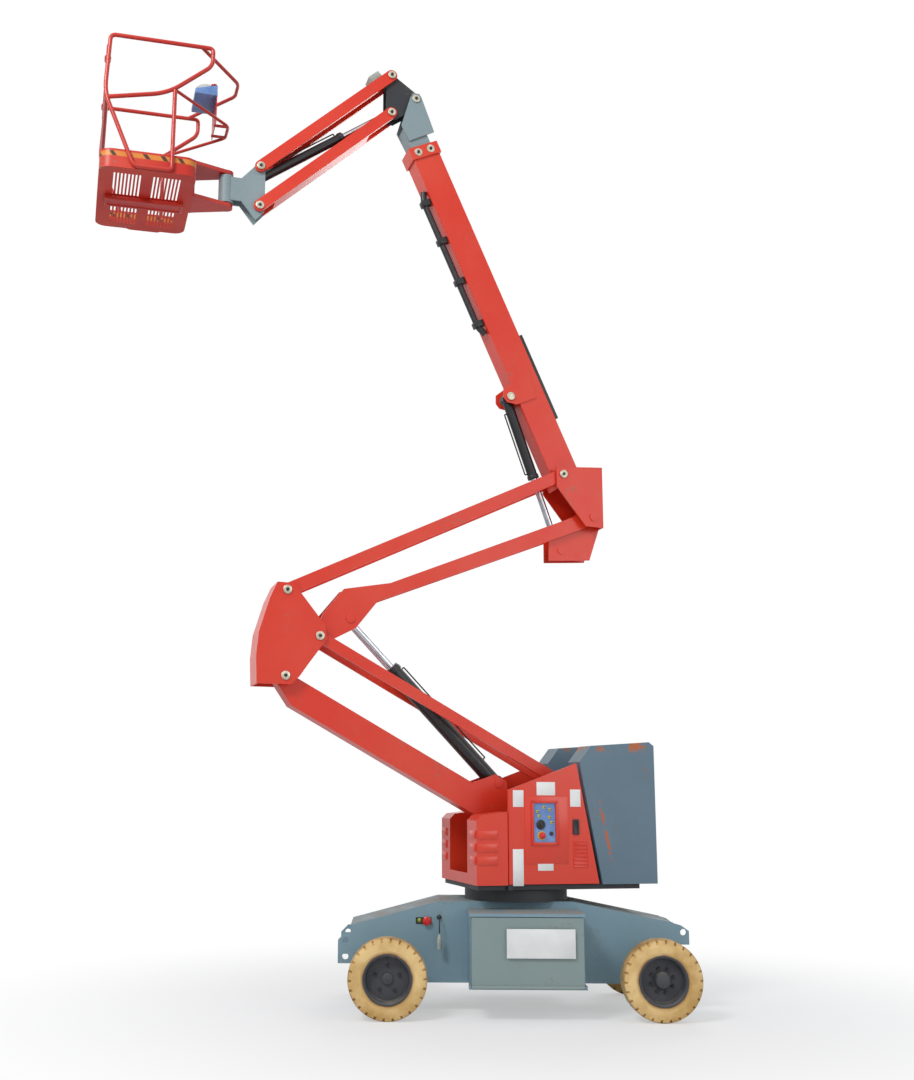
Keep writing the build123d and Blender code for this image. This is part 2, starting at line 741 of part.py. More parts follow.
with BuildPart() as boom_rod:
    rod_along(boom_head_eye, boom_foot_eye, 27, 520, span(boom_head_eye, boom_foot_eye))
    bar(boom_foot_eye, 46, -44, 44)
boom_rod.part.label = "boom_rod"
export_step(boom_rod.part, "parts/boom_rod.step")

# Inner boom and its head plates
inner_start = 420
inner_length = 2860
with BuildPart() as inner_boom:
    with BuildSketch(cross_plane(boom_pivot, boom_tip, inner_start)):
        with Locations((0, boom_offset)):
            Rectangle(2 * inner_half_width, inner_depth)
            Rectangle(2 * (inner_half_width - boom_wall), inner_depth - 2 * boom_wall, mode=Mode.SUBTRACT)
    extrude(amount=inner_length)
inner_boom.part.label = "inner_boom"
export_step(inner_boom.part, "parts/inner_boom.step")

head_inner = inner_half_width + seat_gap
head_outer = head_inner + 16
with BuildPart() as boom_head:
    for side in (1, -1):
        slab(
            (
                shifted(head_pin, (-49, 14)), shifted(head_pin, (-28, 52)), shifted(head_pin, (28, 52)),
                shifted(head_pin, (49, 20)), shifted(head_pin, (162, -284)), shifted(head_pin, (-56, -398)),
                shifted(head_pin, (-128, -260)),
            ),
            side * head_inner, side * head_outer,
        )
        bar(head_pin, pin_head, side * head_inner, side * (head_outer + head_height))
    bar(head_pin, pin_radius, -head_outer, head_outer)
boom_head.part.label = "boom_head"
export_step(boom_head.part, "parts/boom_head.step")

# Jib bracket at the boom head, with the pins of the jib
jib_plate_inner = 44
jib_plate_outer = 58
jib_inner = 64
jib_outer = 86
with BuildPart() as jib_bracket:
    for side in (1, -1):
        slab(
            (
                shifted(jib_pivot, (-42, 0)), shifted(jib_pivot, (-42, jib_rise)), shifted(jib_top_pivot, (0, 45)),
                shifted(jib_top_pivot, (45, 0)), shifted(head_pin, (45, 40)), shifted(head_pin, (45, -45)),
                shifted(jib_pivot, (45, -45)), shifted(jib_pivot, (-30, -40)),
            ),
            side * jib_plate_inner, side * jib_plate_outer,
        )
        bar(head_pin, pin_radius + fit_gap, side * jib_plate_inner, side * jib_plate_outer, Mode.SUBTRACT)
        for pin in (jib_pivot, jib_top_pivot):
            bar(pin, small_pin_radius, side * jib_plate_inner, side * (jib_outer + seat_gap))
            bar(pin, small_pin_radius + 6, side * (jib_outer + seat_gap), side * (jib_outer + head_height))
jib_bracket.part.label = "jib_bracket"
export_step(jib_bracket.part, "parts/jib_bracket.step")

# Jib tubes: the upper one a channel open below, the lower one open above
jib_depth = 96
for name, start, end, web_side, web_start in (
    ("jib_upper_tube", jib_top_pivot, jib_top_end, -1, 130), ("jib_lower_tube", jib_pivot, jib_low_end, 1, 300),
):
    with BuildPart() as tube:
        for side in (1, -1):
            tie(start, end, jib_depth, side * jib_inner, side * jib_outer)
            for pin in (start, end):
                bar(pin, small_pin_radius + fit_gap, side * jib_inner, side * jib_outer, Mode.SUBTRACT)
        beam(
            start, end,
            (
                (web_start, web_side * (jib_depth / 2 - 8)), (web_start, web_side * jib_depth / 2),
                (jib_length - 130, web_side * jib_depth / 2), (jib_length - 130, web_side * (jib_depth / 2 - 8)),
            ),
            -jib_inner, jib_inner,
        )
    tube.part.label = name
    export_step(tube.part, f"parts/{name}.step")

# Bracket at the basket end of the jib, with its pins and the swivel post
post_low = basket_floor_z + 60
post_high = basket_floor_z + 300
jib_foot_pin = 18
with BuildPart() as jib_end_bracket:
    for side in (1, -1):
        slab(
            (
                shifted(jib_low_end, (40, -40)), shifted(jib_low_end, (45, 20)), shifted(jib_top_end, (42, 0)),
                shifted(jib_top_end, (-10, 42)), (post_u + 120, post_high - 20),
                (post_u + 30, post_high - 20), (post_u + 30, post_low + 20), (post_u + 120, post_low + 20),
                shifted(jib_low_end, (-30, -120)),
            ),
            side * jib_plate_inner, side * jib_plate_outer,
        )
        for pin in (jib_low_end, jib_top_end):
            bar(pin, small_pin_radius, side * jib_plate_inner, side * (jib_outer + seat_gap))
            bar(pin, small_pin_radius + 6, side * (jib_outer + seat_gap), side * (jib_outer + head_height))
    bar(jib_foot_eye, jib_foot_pin, -jib_plate_outer, jib_plate_outer)
    turret_upright(post_u, 0, 62, post_low, post_high)
    turret_upright(post_u, 0, pin_radius + fit_gap, post_low, post_high, Mode.SUBTRACT)
jib_end_bracket.part.label = "jib_end_bracket"
export_step(jib_end_bracket.part, "parts/jib_end_bracket.step")

# Jib cylinder across the jib, its rod's eye open at the jib bracket
jib_barrel_length = 900
with BuildPart() as jib_barrel:
    rod_along(jib_foot_eye, jib_rod_eye, 38, 0, jib_barrel_length)
    bar(jib_foot_eye, 40, -38, 38)
    rod_along(jib_foot_eye, jib_rod_eye, 22 + fit_gap, 80, jib_barrel_length + 1, Mode.SUBTRACT)
    bar(jib_foot_eye, jib_foot_pin + fit_gap, -38, 38, Mode.SUBTRACT)
jib_barrel.part.label = "jib_barrel"
export_step(jib_barrel.part, "parts/jib_barrel.step")

with BuildPart() as jib_rod:
    rod_along(jib_foot_eye, jib_rod_eye, 22, 500, span(jib_foot_eye, jib_rod_eye))
    bar(jib_rod_eye, 36, -36, 36)
jib_rod.part.label = "jib_rod"
export_step(jib_rod.part, "parts/jib_rod.step")

# Basket: floor pan, rail frame, mount, console and gate
basket_length = basket_back - basket_front
basket_mid = (basket_back + basket_front) / 2
floor_skin = 4
with BuildPart() as basket_floor:
    with BuildSketch(flat_plane(basket_floor_z)):
        with Locations((basket_mid, 0)):
            RectangleRounded(basket_length, 2 * basket_half_width, 90)
    extrude(amount=toe_height)
    with BuildSketch(flat_plane(basket_floor_z + floor_skin)):
        with Locations((basket_mid, 0)):
            RectangleRounded(basket_length - 2 * floor_skin, 2 * (basket_half_width - floor_skin), 90 - floor_skin)
    extrude(amount=toe_height, mode=Mode.SUBTRACT)
basket_floor.part.label = "basket_floor"
export_step(basket_floor.part, "parts/basket_floor.step")

rail_top = basket_floor_z + rail_height
rail_w = basket_half_width - rail_radius - 6
rail_front = basket_front + rail_radius + 6
rail_back = basket_back - rail_radius - 6
gate_u = rail_front
gate_z = rail_top - 120
gate_w = rail_w - 90
with BuildPart() as basket_frame:
    for u in (rail_front, rail_back):
        for w in (-gate_w, gate_w):
            turret_upright(u, w, rail_radius, basket_floor_z + floor_skin + seat_gap, rail_top - 2 * rail_radius)
    for z in (rail_top - 2 * rail_radius, rail_top - 560):
        with BuildSketch(flat_plane(z)):
            with Locations((basket_mid, 0)):
                RectangleRounded(rail_back - rail_front + 2 * rail_radius, 2 * (rail_w + rail_radius), 90)
                RectangleRounded(
                    rail_back - rail_front - 2 * rail_radius, 2 * (rail_w - rail_radius), 90 - 2 * rail_radius,
                    mode=Mode.SUBTRACT,
                )
        extrude(amount=2 * rail_radius)
    bar((gate_u, gate_z), rail_radius, -gate_w, gate_w)
basket_frame.part.label = "basket_frame"
export_step(basket_frame.part, "parts/basket_frame.step")

with BuildPart() as basket_mount:
    for z in (basket_floor_z + 20, post_high + run_gap):
        with BuildSketch(flat_plane(z)):
            with BuildLine():
                Polyline(
                    (basket_back + seat_gap, -160), (post_u, -58), (post_u, 58), (basket_back + seat_gap, 160),
                    close=True,
                )
            make_face()
            with Locations((post_u, 0)):
                Circle(58)
        extrude(amount=32)
    turret_block(
        basket_back + seat_gap, basket_back + seat_gap + 20, -160, 160, basket_floor_z + 20, post_high + run_gap + 32,
    )
    turret_upright(post_u, 0, pin_radius, basket_floor_z + 20, post_high + run_gap + 32)
basket_mount.part.label = "basket_mount"
export_step(basket_mount.part, "parts/basket_mount.step")

with BuildPart() as control_console:
    turret_block(
        rail_back + rail_radius + seat_gap, rail_back + rail_radius + 200, -165, 165, rail_top - 180, rail_top - 60,
    )
    turret_block(
        rail_back + rail_radius + seat_gap, rail_back + rail_radius + 20, -100, 100, rail_top - 80, rail_top,
    )
control_console.part.label = "control_console"
export_step(control_console.part, "parts/control_console.step")

# Entry gate hung from the front bar on two sleeves
with BuildPart() as basket_gate:
    for side in (1, -1):
        bar((gate_u, gate_z), rail_radius + 9, side * (gate_w - 90), side * (gate_w - 40))
        slab(
            (
                (gate_u - 12, gate_z), (gate_u - 12, gate_z - 380), (gate_u + 12, gate_z - 380), (gate_u + 12, gate_z),
            ),
            side * (gate_w - 80), side * (gate_w - 50),
        )
        bar((gate_u, gate_z), rail_radius + fit_gap, side * (gate_w - 90), side * (gate_w - 40), Mode.SUBTRACT)
    bar((gate_u, gate_z - 380), rail_radius, -gate_w + 50, gate_w - 50)
basket_gate.part.label = "basket_gate"
export_step(basket_gate.part, "parts/basket_gate.step")
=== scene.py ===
"""Articulating boom lift: finishes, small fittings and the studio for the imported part."""

import json
import math

import bmesh
import bpy
from mathutils import Matrix, Vector


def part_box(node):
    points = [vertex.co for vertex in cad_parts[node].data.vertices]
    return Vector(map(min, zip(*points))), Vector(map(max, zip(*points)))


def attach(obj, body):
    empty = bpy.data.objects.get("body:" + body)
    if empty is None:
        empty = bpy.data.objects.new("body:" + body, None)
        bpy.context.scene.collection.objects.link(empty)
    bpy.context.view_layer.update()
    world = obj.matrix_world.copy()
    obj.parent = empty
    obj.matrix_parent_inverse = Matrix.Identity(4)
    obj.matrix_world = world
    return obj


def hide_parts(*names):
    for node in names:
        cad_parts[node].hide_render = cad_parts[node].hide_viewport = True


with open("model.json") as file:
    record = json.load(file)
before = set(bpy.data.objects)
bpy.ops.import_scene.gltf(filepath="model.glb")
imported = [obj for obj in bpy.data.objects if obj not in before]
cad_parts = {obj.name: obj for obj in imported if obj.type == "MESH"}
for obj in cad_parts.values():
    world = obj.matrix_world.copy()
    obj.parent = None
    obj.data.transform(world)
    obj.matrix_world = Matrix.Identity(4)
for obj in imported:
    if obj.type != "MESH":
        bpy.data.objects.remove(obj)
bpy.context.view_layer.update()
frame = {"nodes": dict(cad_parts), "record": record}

# Values of the machine and of the photo's camera, in metres, degrees and pixels
SLEW = 14.5
BOOM_ANGLE = 114.0
JIB_ANGLE = 41.8
CAMERA_POINT = (-0.928, -10.59, 1.64)
CAMERA_TILT = 11.3
CAMERA_ROLL = 0.35
FOCAL_PIXELS = 1300.0
PHOTO_SIZE = (914.0, 1080.0)
PRINCIPAL = (400.0, 530.0)
AXLE_HEIGHT = 0.29
COVER_HALF_WIDTH = 0.46

TURN = Matrix.Rotation(math.radians(SLEW), 4, "Z")
REAR = TURN @ Vector((1.0, 0.0, 0.0))
NEAR = TURN @ Vector((0.0, -1.0, 0.0))
UP = Vector((0.0, 0.0, 1.0))
PINS = {
    row["name"]: Vector(row["pos_m"])
    for row in frame["record"]["behaviour"]["joints"] if row.get("pos_m")
}


def spot(u, w, z):
    """World point from the turret's axes: u to the rear, w out to the left, z up."""
    return TURN @ Vector((u, -w, z))


def boom_spot(along, under, w):
    """World point on the telescopic boom: along it from its pivot, out from its underside, to the left."""
    angle = math.radians(BOOM_ANGLE)
    reach = REAR * math.cos(angle) + UP * math.sin(angle)
    below = REAR * -math.sin(angle) + UP * math.cos(angle)
    return PINS["boom_lift"] + reach * along + below * under + NEAR * w


def jib_spot(along, above, w):
    """World point on the upper jib tube: down it from its upper pin, out from its top, and to the left."""
    angle = math.radians(180.0 + JIB_ANGLE)
    reach = REAR * math.cos(angle) + UP * math.sin(angle)
    top = REAR * math.sin(angle) - UP * math.cos(angle)
    return PINS["jib_upper_follow"] + reach * along + top * above + NEAR * w


def tone(red, green, blue):
    """A colour from its screen values, as the shaders take it."""
    return tuple(
        (value / 255.0 / 12.92) if value <= 10 else ((value / 255.0 + 0.055) / 1.055) ** 2.4
        for value in (red, green, blue)
    )


def node_group(name, inputs, outputs):
    """An empty shader group with named float, colour or vector sockets."""
    group = bpy.data.node_groups.new(name, "ShaderNodeTree")
    for label, kind, value in inputs:
        socket = group.interface.new_socket(label, in_out="INPUT", socket_type=kind)
        socket.default_value = value
    for label, kind in outputs:
        group.interface.new_socket(label, in_out="OUTPUT", socket_type=kind)
    tree_in = group.nodes.new("NodeGroupInput")
    tree_out = group.nodes.new("NodeGroupOutput")
    return group, tree_in, tree_out


def add_node(tree, kind, **values):
    """A node with its plain settings; names of input sockets take numbers or colours."""
    node = tree.nodes.new(kind)
    for key, value in values.items():
        if hasattr(node, key):
            setattr(node, key, value)
        else:
            node.inputs[key].default_value = value
    return node


def weathered_paint_group():
    """Paint that fades in patches, gathers dust on level faces and chips in small spots."""
    group, tin, tout = node_group(
        "weathered_paint",
        (
            ("Paint", "NodeSocketColor", (0.6, 0.05, 0.02, 1.0)),
            ("Faded", "NodeSocketColor", (0.7, 0.15, 0.08, 1.0)),
            ("Dust", "NodeSocketColor", (0.35, 0.31, 0.25, 1.0)),
            ("Chip", "NodeSocketColor", (0.22, 0.14, 0.09, 1.0)),
            ("Fading", "NodeSocketFloat", 0.3),
            ("Dustiness", "NodeSocketFloat", 0.3),
            ("Chips", "NodeSocketFloat", 0.2),
            ("Gloss", "NodeSocketFloat", 0.35),
        ),
        (("Color", "NodeSocketColor"), ("Roughness", "NodeSocketFloat"), ("Height", "NodeSocketFloat")),
    )
    link = group.links.new
    place = add_node(group, "ShaderNodeTexCoord")
    patches = add_node(group, "ShaderNodeTexNoise", Scale=1.7, Detail=4.0, Roughness=0.55)
    link(place.outputs["Object"], patches.inputs["Vector"])
    patch_ramp = add_node(group, "ShaderNodeMapRange")
    patch_ramp.inputs["From Min"].default_value = 0.42
    patch_ramp.inputs["From Max"].default_value = 0.72
    link(patches.outputs["Fac"], patch_ramp.inputs["Value"])
    fade_amount = add_node(group, "ShaderNodeMath", operation="MULTIPLY")
    link(patch_ramp.outputs["Result"], fade_amount.inputs[0])
    link(tin.outputs["Fading"], fade_amount.inputs[1])
    faded = add_node(group, "ShaderNodeMix", data_type="RGBA")
    link(fade_amount.outputs[0], faded.inputs["Factor"])
    link(tin.outputs["Paint"], faded.inputs["A"])
    link(tin.outputs["Faded"], faded.inputs["B"])
    # dust lies on faces that look up
    geometry = add_node(group, "ShaderNodeNewGeometry")
    split = add_node(group, "ShaderNodeSeparateXYZ")
    link(geometry.outputs["Normal"], split.inputs[0])
    level = add_node(group, "ShaderNodeMapRange")
    level.inputs["From Min"].default_value = 0.35
    level.inputs["From Max"].default_value = 0.95
    link(split.outputs["Z"], level.inputs["Value"])
    grit = add_node(group, "ShaderNodeTexNoise", Scale=9.0, Detail=6.0, Roughness=0.65)
    link(place.outputs["Object"], grit.inputs["Vector"])
    grit_ramp = add_node(group, "ShaderNodeMapRange")
    grit_ramp.inputs["From Min"].default_value = 0.3
    grit_ramp.inputs["From Max"].default_value = 0.6
    link(grit.outputs["Fac"], grit_ramp.inputs["Value"])
    dust_mask = add_node(group, "ShaderNodeMath", operation="MULTIPLY")
    link(level.outputs["Result"], dust_mask.inputs[0])
    link(grit_ramp.outputs["Result"], dust_mask.inputs[1])
    dust_amount = add_node(group, "ShaderNodeMath", operation="MULTIPLY")
    link(dust_mask.outputs[0], dust_amount.inputs[0])
    link(tin.outputs["Dustiness"], dust_amount.inputs[1])
    dusty = add_node(group, "ShaderNodeMix", data_type="RGBA")
    link(dust_amount.outputs[0], dusty.inputs["Factor"])
    link(faded.outputs["Result"], dusty.inputs["A"])
    link(tin.outputs["Dust"], dusty.inputs["B"])
    # chips: small spots of bare metal
    spots = add_node(group, "ShaderNodeTexNoise", Scale=34.0, Detail=3.0, Roughness=0.5)
    link(place.outputs["Object"], spots.inputs["Vector"])
    rare = add_node(group, "ShaderNodeTexNoise", Scale=3.1, Detail=2.0)
    link(place.outputs["Object"], rare.inputs["Vector"])
    both = add_node(group, "ShaderNodeMath", operation="MULTIPLY")
    link(spots.outputs["Fac"], both.inputs[0])
    link(rare.outputs["Fac"], both.inputs[1])
    chip_ramp = add_node(group, "ShaderNodeMapRange")
    chip_ramp.inputs["From Min"].default_value = 0.385
    chip_ramp.inputs["From Max"].default_value = 0.41
    link(both.outputs[0], chip_ramp.inputs["Value"])
    chip_amount = add_node(group, "ShaderNodeMath", operation="MULTIPLY")
    link(chip_ramp.outputs["Result"], chip_amount.inputs[0])
    link(tin.outputs["Chips"], chip_amount.inputs[1])
    chipped = add_node(group, "ShaderNodeMix", data_type="RGBA")
    link(chip_amount.outputs[0], chipped.inputs["Factor"])
    link(dusty.outputs["Result"], chipped.inputs["A"])
    link(tin.outputs["Chip"], chipped.inputs["B"])
    link(chipped.outputs["Result"], tout.inputs["Color"])
    rough = add_node(group, "ShaderNodeMath", operation="MULTIPLY_ADD")
    link(dust_amount.outputs[0], rough.inputs[0])
    rough.inputs[1].default_value = 0.5
    link(tin.outputs["Gloss"], rough.inputs[2])
    uneven = add_node(group, "ShaderNodeMath", operation="MULTIPLY_ADD", use_clamp=True)
    link(grit.outputs["Fac"], uneven.inputs[0])
    uneven.inputs[1].default_value = 0.16
    link(rough.outputs[0], uneven.inputs[2])
    link(uneven.outputs[0], tout.inputs["Roughness"])
    drop = add_node(group, "ShaderNodeMath", operation="MULTIPLY_ADD")
    link(chip_amount.outputs[0], drop.inputs[0])
    drop.inputs[1].default_value = -0.6
    link(grit.outputs["Fac"], drop.inputs[2])
    link(drop.outputs[0], tout.inputs["Height"])
    return group


WEATHERED_PAINT = weathered_paint_group()
PAINT_RELIEF = 0.0006


def new_material(name):
    """An empty material with its shader and output."""
    material = bpy.data.materials.new(name)
    material.use_nodes = True
    tree = material.node_tree
    tree.nodes.clear()
    shader = tree.nodes.new("ShaderNodeBsdfPrincipled")
    output = tree.nodes.new("ShaderNodeOutputMaterial")
    tree.links.new(shader.outputs["BSDF"], output.inputs["Surface"])
    return material, tree, shader


def paint(name, colour, faded, gloss, fading=0.3, dustiness=0.3, chips=0.25, coat=0.0, dust=None):
    """A weathered paint of one colour."""
    material, tree, shader = new_material(name)
    wear = tree.nodes.new("ShaderNodeGroup")
    wear.node_tree = WEATHERED_PAINT
    wear.inputs["Paint"].default_value = (*colour, 1.0)
    wear.inputs["Faded"].default_value = (*faded, 1.0)
    if dust:
        wear.inputs["Dust"].default_value = (*dust, 1.0)
    wear.inputs["Fading"].default_value = fading
    wear.inputs["Dustiness"].default_value = dustiness
    wear.inputs["Chips"].default_value = chips
    wear.inputs["Gloss"].default_value = gloss
    tree.links.new(wear.outputs["Color"], shader.inputs["Base Color"])
    tree.links.new(wear.outputs["Roughness"], shader.inputs["Roughness"])
    relief = tree.nodes.new("ShaderNodeBump")
    relief.inputs["Distance"].default_value = PAINT_RELIEF
    relief.inputs["Strength"].default_value = 0.5
    tree.links.new(wear.outputs["Height"], relief.inputs["Height"])
    tree.links.new(relief.outputs["Normal"], shader.inputs["Normal"])
    shader.inputs["Coat Weight"].default_value = coat
    shader.inputs["Coat Roughness"].default_value = 0.15
    return material


def mottled(name, dark, light, scale, rough, metallic=0.0, bump=0.0, spread=(0.35, 0.65)):
    """A plain stuff, such as rubber or bare metal, with a soft mottle of two tones."""
    material, tree, shader = new_material(name)
    place = tree.nodes.new("ShaderNodeTexCoord")
    cloud = tree.nodes.new("ShaderNodeTexNoise")
    cloud.inputs["Scale"].default_value = scale
    cloud.inputs["Detail"].default_value = 5.0
    tree.links.new(place.outputs["Object"], cloud.inputs["Vector"])
    ramp = tree.nodes.new("ShaderNodeValToRGB")
    ramp.color_ramp.elements[0].position = spread[0]
    ramp.color_ramp.elements[0].color = (*dark, 1.0)
    ramp.color_ramp.elements[1].position = spread[1]
    ramp.color_ramp.elements[1].color = (*light, 1.0)
    tree.links.new(cloud.outputs["Fac"], ramp.inputs["Fac"])
    tree.links.new(ramp.outputs["Color"], shader.inputs["Base Color"])
    sheen = tree.nodes.new("ShaderNodeMapRange")
    sheen.inputs["To Min"].default_value = max(0.02, rough - 0.07)
    sheen.inputs["To Max"].default_value = min(1.0, rough + 0.07)
    tree.links.new(cloud.outputs["Fac"], sheen.inputs["Value"])
    tree.links.new(sheen.outputs["Result"], shader.inputs["Roughness"])
    shader.inputs["Metallic"].default_value = metallic
    if bump:
        relief = tree.nodes.new("ShaderNodeBump")
        relief.inputs["Distance"].default_value = bump
        relief.inputs["Strength"].default_value = 0.6
        tree.links.new(cloud.outputs["Fac"], relief.inputs["Height"])
        tree.links.new(relief.outputs["Normal"], shader.inputs["Normal"])
    return material


def axis_mask(tree, place, axis, low, high, soft):
    """A mask that is 1 between two heights along one axis of the piece."""
    link = tree.links.new
    split = add_node(tree, "ShaderNodeSeparateXYZ")
    link(place, split.inputs[0])
    rise = add_node(tree, "ShaderNodeMapRange")
    rise.inputs["From Min"].default_value = low - soft
    rise.inputs["From Max"].default_value = low + soft
    fall = add_node(tree, "ShaderNodeMapRange")
    fall.inputs["From Min"].default_value = high + soft
    fall.inputs["From Max"].default_value = high - soft
    link(split.outputs[axis], rise.inputs["Value"])
    link(split.outputs[axis], fall.inputs["Value"])
    both = add_node(tree, "ShaderNodeMath", operation="MULTIPLY")
    link(rise.outputs["Result"], both.inputs[0])
    link(fall.outputs["Result"], both.inputs[1])
    return both.outputs[0]


def over_colour(material, mask, colour):
    """Lay a second colour over a painted material where a mask says."""
    tree = material.node_tree
    shader = next(node for node in tree.nodes if node.type == "BSDF_PRINCIPLED")
    before = shader.inputs["Base Color"].links[0].from_socket
    mix = add_node(tree, "ShaderNodeMix", data_type="RGBA")
    tree.links.new(mask, mix.inputs["Factor"])
    tree.links.new(before, mix.inputs["A"])
    mix.inputs["B"].default_value = (*colour, 1.0)
    tree.links.new(mix.outputs["Result"], shader.inputs["Base Color"])


def worn(tree, place, mask, scale, low, high):
    """Break up a mask with a coarse noise, as rubbed paint is."""
    link = tree.links.new
    rub = add_node(tree, "ShaderNodeTexNoise", Scale=scale, Detail=5.0)
    link(place, rub.inputs["Vector"])
    gate = add_node(tree, "ShaderNodeMapRange")
    gate.inputs["From Min"].default_value = low
    gate.inputs["From Max"].default_value = high
    link(rub.outputs["Fac"], gate.inputs["Value"])
    both = add_node(tree, "ShaderNodeMath", operation="MULTIPLY")
    link(mask, both.inputs[0])
    link(gate.outputs["Result"], both.inputs[1])
    return both.outputs[0]


def striped_toe_board():
    """Toe board in red darkened with painted shade, with a rubbed yellow band that has dark bars over it."""
    # the red base colour carries painted shade of the basket; the yellow band and dark bars are print
    material = paint("toe_board", tone(190, 34, 14), RED_FADED, 0.38, fading=0.4, dustiness=0.3, chips=0.5)
    tree = material.node_tree
    place = tree.nodes.new("ShaderNodeTexCoord").outputs["Object"]
    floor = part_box("basket_floor")[0][2]
    band = axis_mask(tree, place, "Z", floor + 0.092, floor + 0.132, 0.002)
    over_colour(material, worn(tree, place, band, 5.0, 0.3, 0.42), tone(214, 130, 46))
    turned_place = tree.nodes.new("ShaderNodeMapping")
    turned_place.inputs["Rotation"].default_value = (0.0, 0.6, math.radians(SLEW))
    tree.links.new(place, turned_place.inputs["Vector"])
    bars = add_node(tree, "ShaderNodeTexWave", bands_direction="X", Scale=3.4, Distortion=0.6)
    tree.links.new(turned_place.outputs["Vector"], bars.inputs["Vector"])
    edge = add_node(tree, "ShaderNodeMapRange")
    edge.inputs["From Min"].default_value = 0.8
    edge.inputs["From Max"].default_value = 0.86
    tree.links.new(bars.outputs["Fac"], edge.inputs["Value"])
    both = add_node(tree, "ShaderNodeMath", operation="MULTIPLY")
    tree.links.new(edge.outputs["Result"], both.inputs[0])
    tree.links.new(band, both.inputs[1])
    over_colour(material, both.outputs[0], tone(70, 40, 30))
    return material


def scraped_counterweight():
    """Blue grey paint with one long rusty scrape down each side and rubbed top corners."""
    material = paint(
        "counterweight_paint", tone(94, 117, 132), tone(112, 134, 148), 0.36,
        fading=0.35, dustiness=0.3, chips=0.7,
    )
    tree = material.node_tree
    place = tree.nodes.new("ShaderNodeTexCoord").outputs["Object"]
    lean = tree.nodes.new("ShaderNodeMapping")
    lean.vector_type = "TEXTURE"
    lean.inputs["Location"].default_value = spot(0.573, 0.46, 1.36)
    lean.inputs["Rotation"].default_value = (0.0, math.radians(-11.8), math.radians(SLEW))
    tree.links.new(place, lean.inputs["Vector"])
    across = axis_mask(tree, lean.outputs["Vector"], "X", -0.011, 0.009, 0.007)
    length = axis_mask(tree, lean.outputs["Vector"], "Z", -0.24, 0.2, 0.02)
    scrape = add_node(tree, "ShaderNodeMath", operation="MULTIPLY")
    tree.links.new(across, scrape.inputs[0])
    tree.links.new(length, scrape.inputs[1])
    over_colour(material, worn(tree, place, scrape.outputs[0], 22.0, 0.42, 0.52), tone(190, 92, 34))
    top = axis_mask(tree, place, "Z", 1.95, 2.1, 0.02)
    over_colour(material, worn(tree, place, top, 7.0, 0.56, 0.62), tone(176, 96, 44))
    return material


def tyre_rubber():
    """Pale solid rubber, scuffed on its side and dirty on its tread."""
    material = mottled("tyre", tone(196, 156, 92), tone(236, 202, 140), 6.0, 0.78, bump=0.0012)
    tree = material.node_tree
    place = tree.nodes.new("ShaderNodeTexCoord").outputs["Object"]
    split = add_node(tree, "ShaderNodeSeparateXYZ")
    tree.links.new(place, split.inputs[0])
    side = add_node(tree, "ShaderNodeMath", operation="ABSOLUTE")
    tree.links.new(split.outputs["X"], side.inputs[0])
    out = add_node(tree, "ShaderNodeMath", operation="SUBTRACT")
    tree.links.new(side.outputs[0], out.inputs[0])
    out.inputs[1].default_value = 1.0
    high = add_node(tree, "ShaderNodeMath", operation="SUBTRACT")
    tree.links.new(split.outputs["Z"], high.inputs[0])
    high.inputs[1].default_value = AXLE_HEIGHT
    flat = add_node(tree, "ShaderNodeCombineXYZ")
    tree.links.new(out.outputs[0], flat.inputs["X"])
    tree.links.new(high.outputs[0], flat.inputs["Y"])
    reach = add_node(tree, "ShaderNodeVectorMath", operation="LENGTH")
    tree.links.new(flat.outputs[0], reach.inputs[0])
    for low, full, colour, scale in (
        (0.278, 0.292, tone(150, 122, 84), 9.0), (0.205, 0.18, tone(168, 120, 70), 12.0),
    ):
        zone = add_node(tree, "ShaderNodeMapRange")
        zone.inputs["From Min"].default_value = low
        zone.inputs["From Max"].default_value = full
        tree.links.new(reach.outputs["Value"], zone.inputs["Value"])
        over_colour(material, worn(tree, place, zone.outputs["Result"], scale, 0.35, 0.6), colour)
    return material


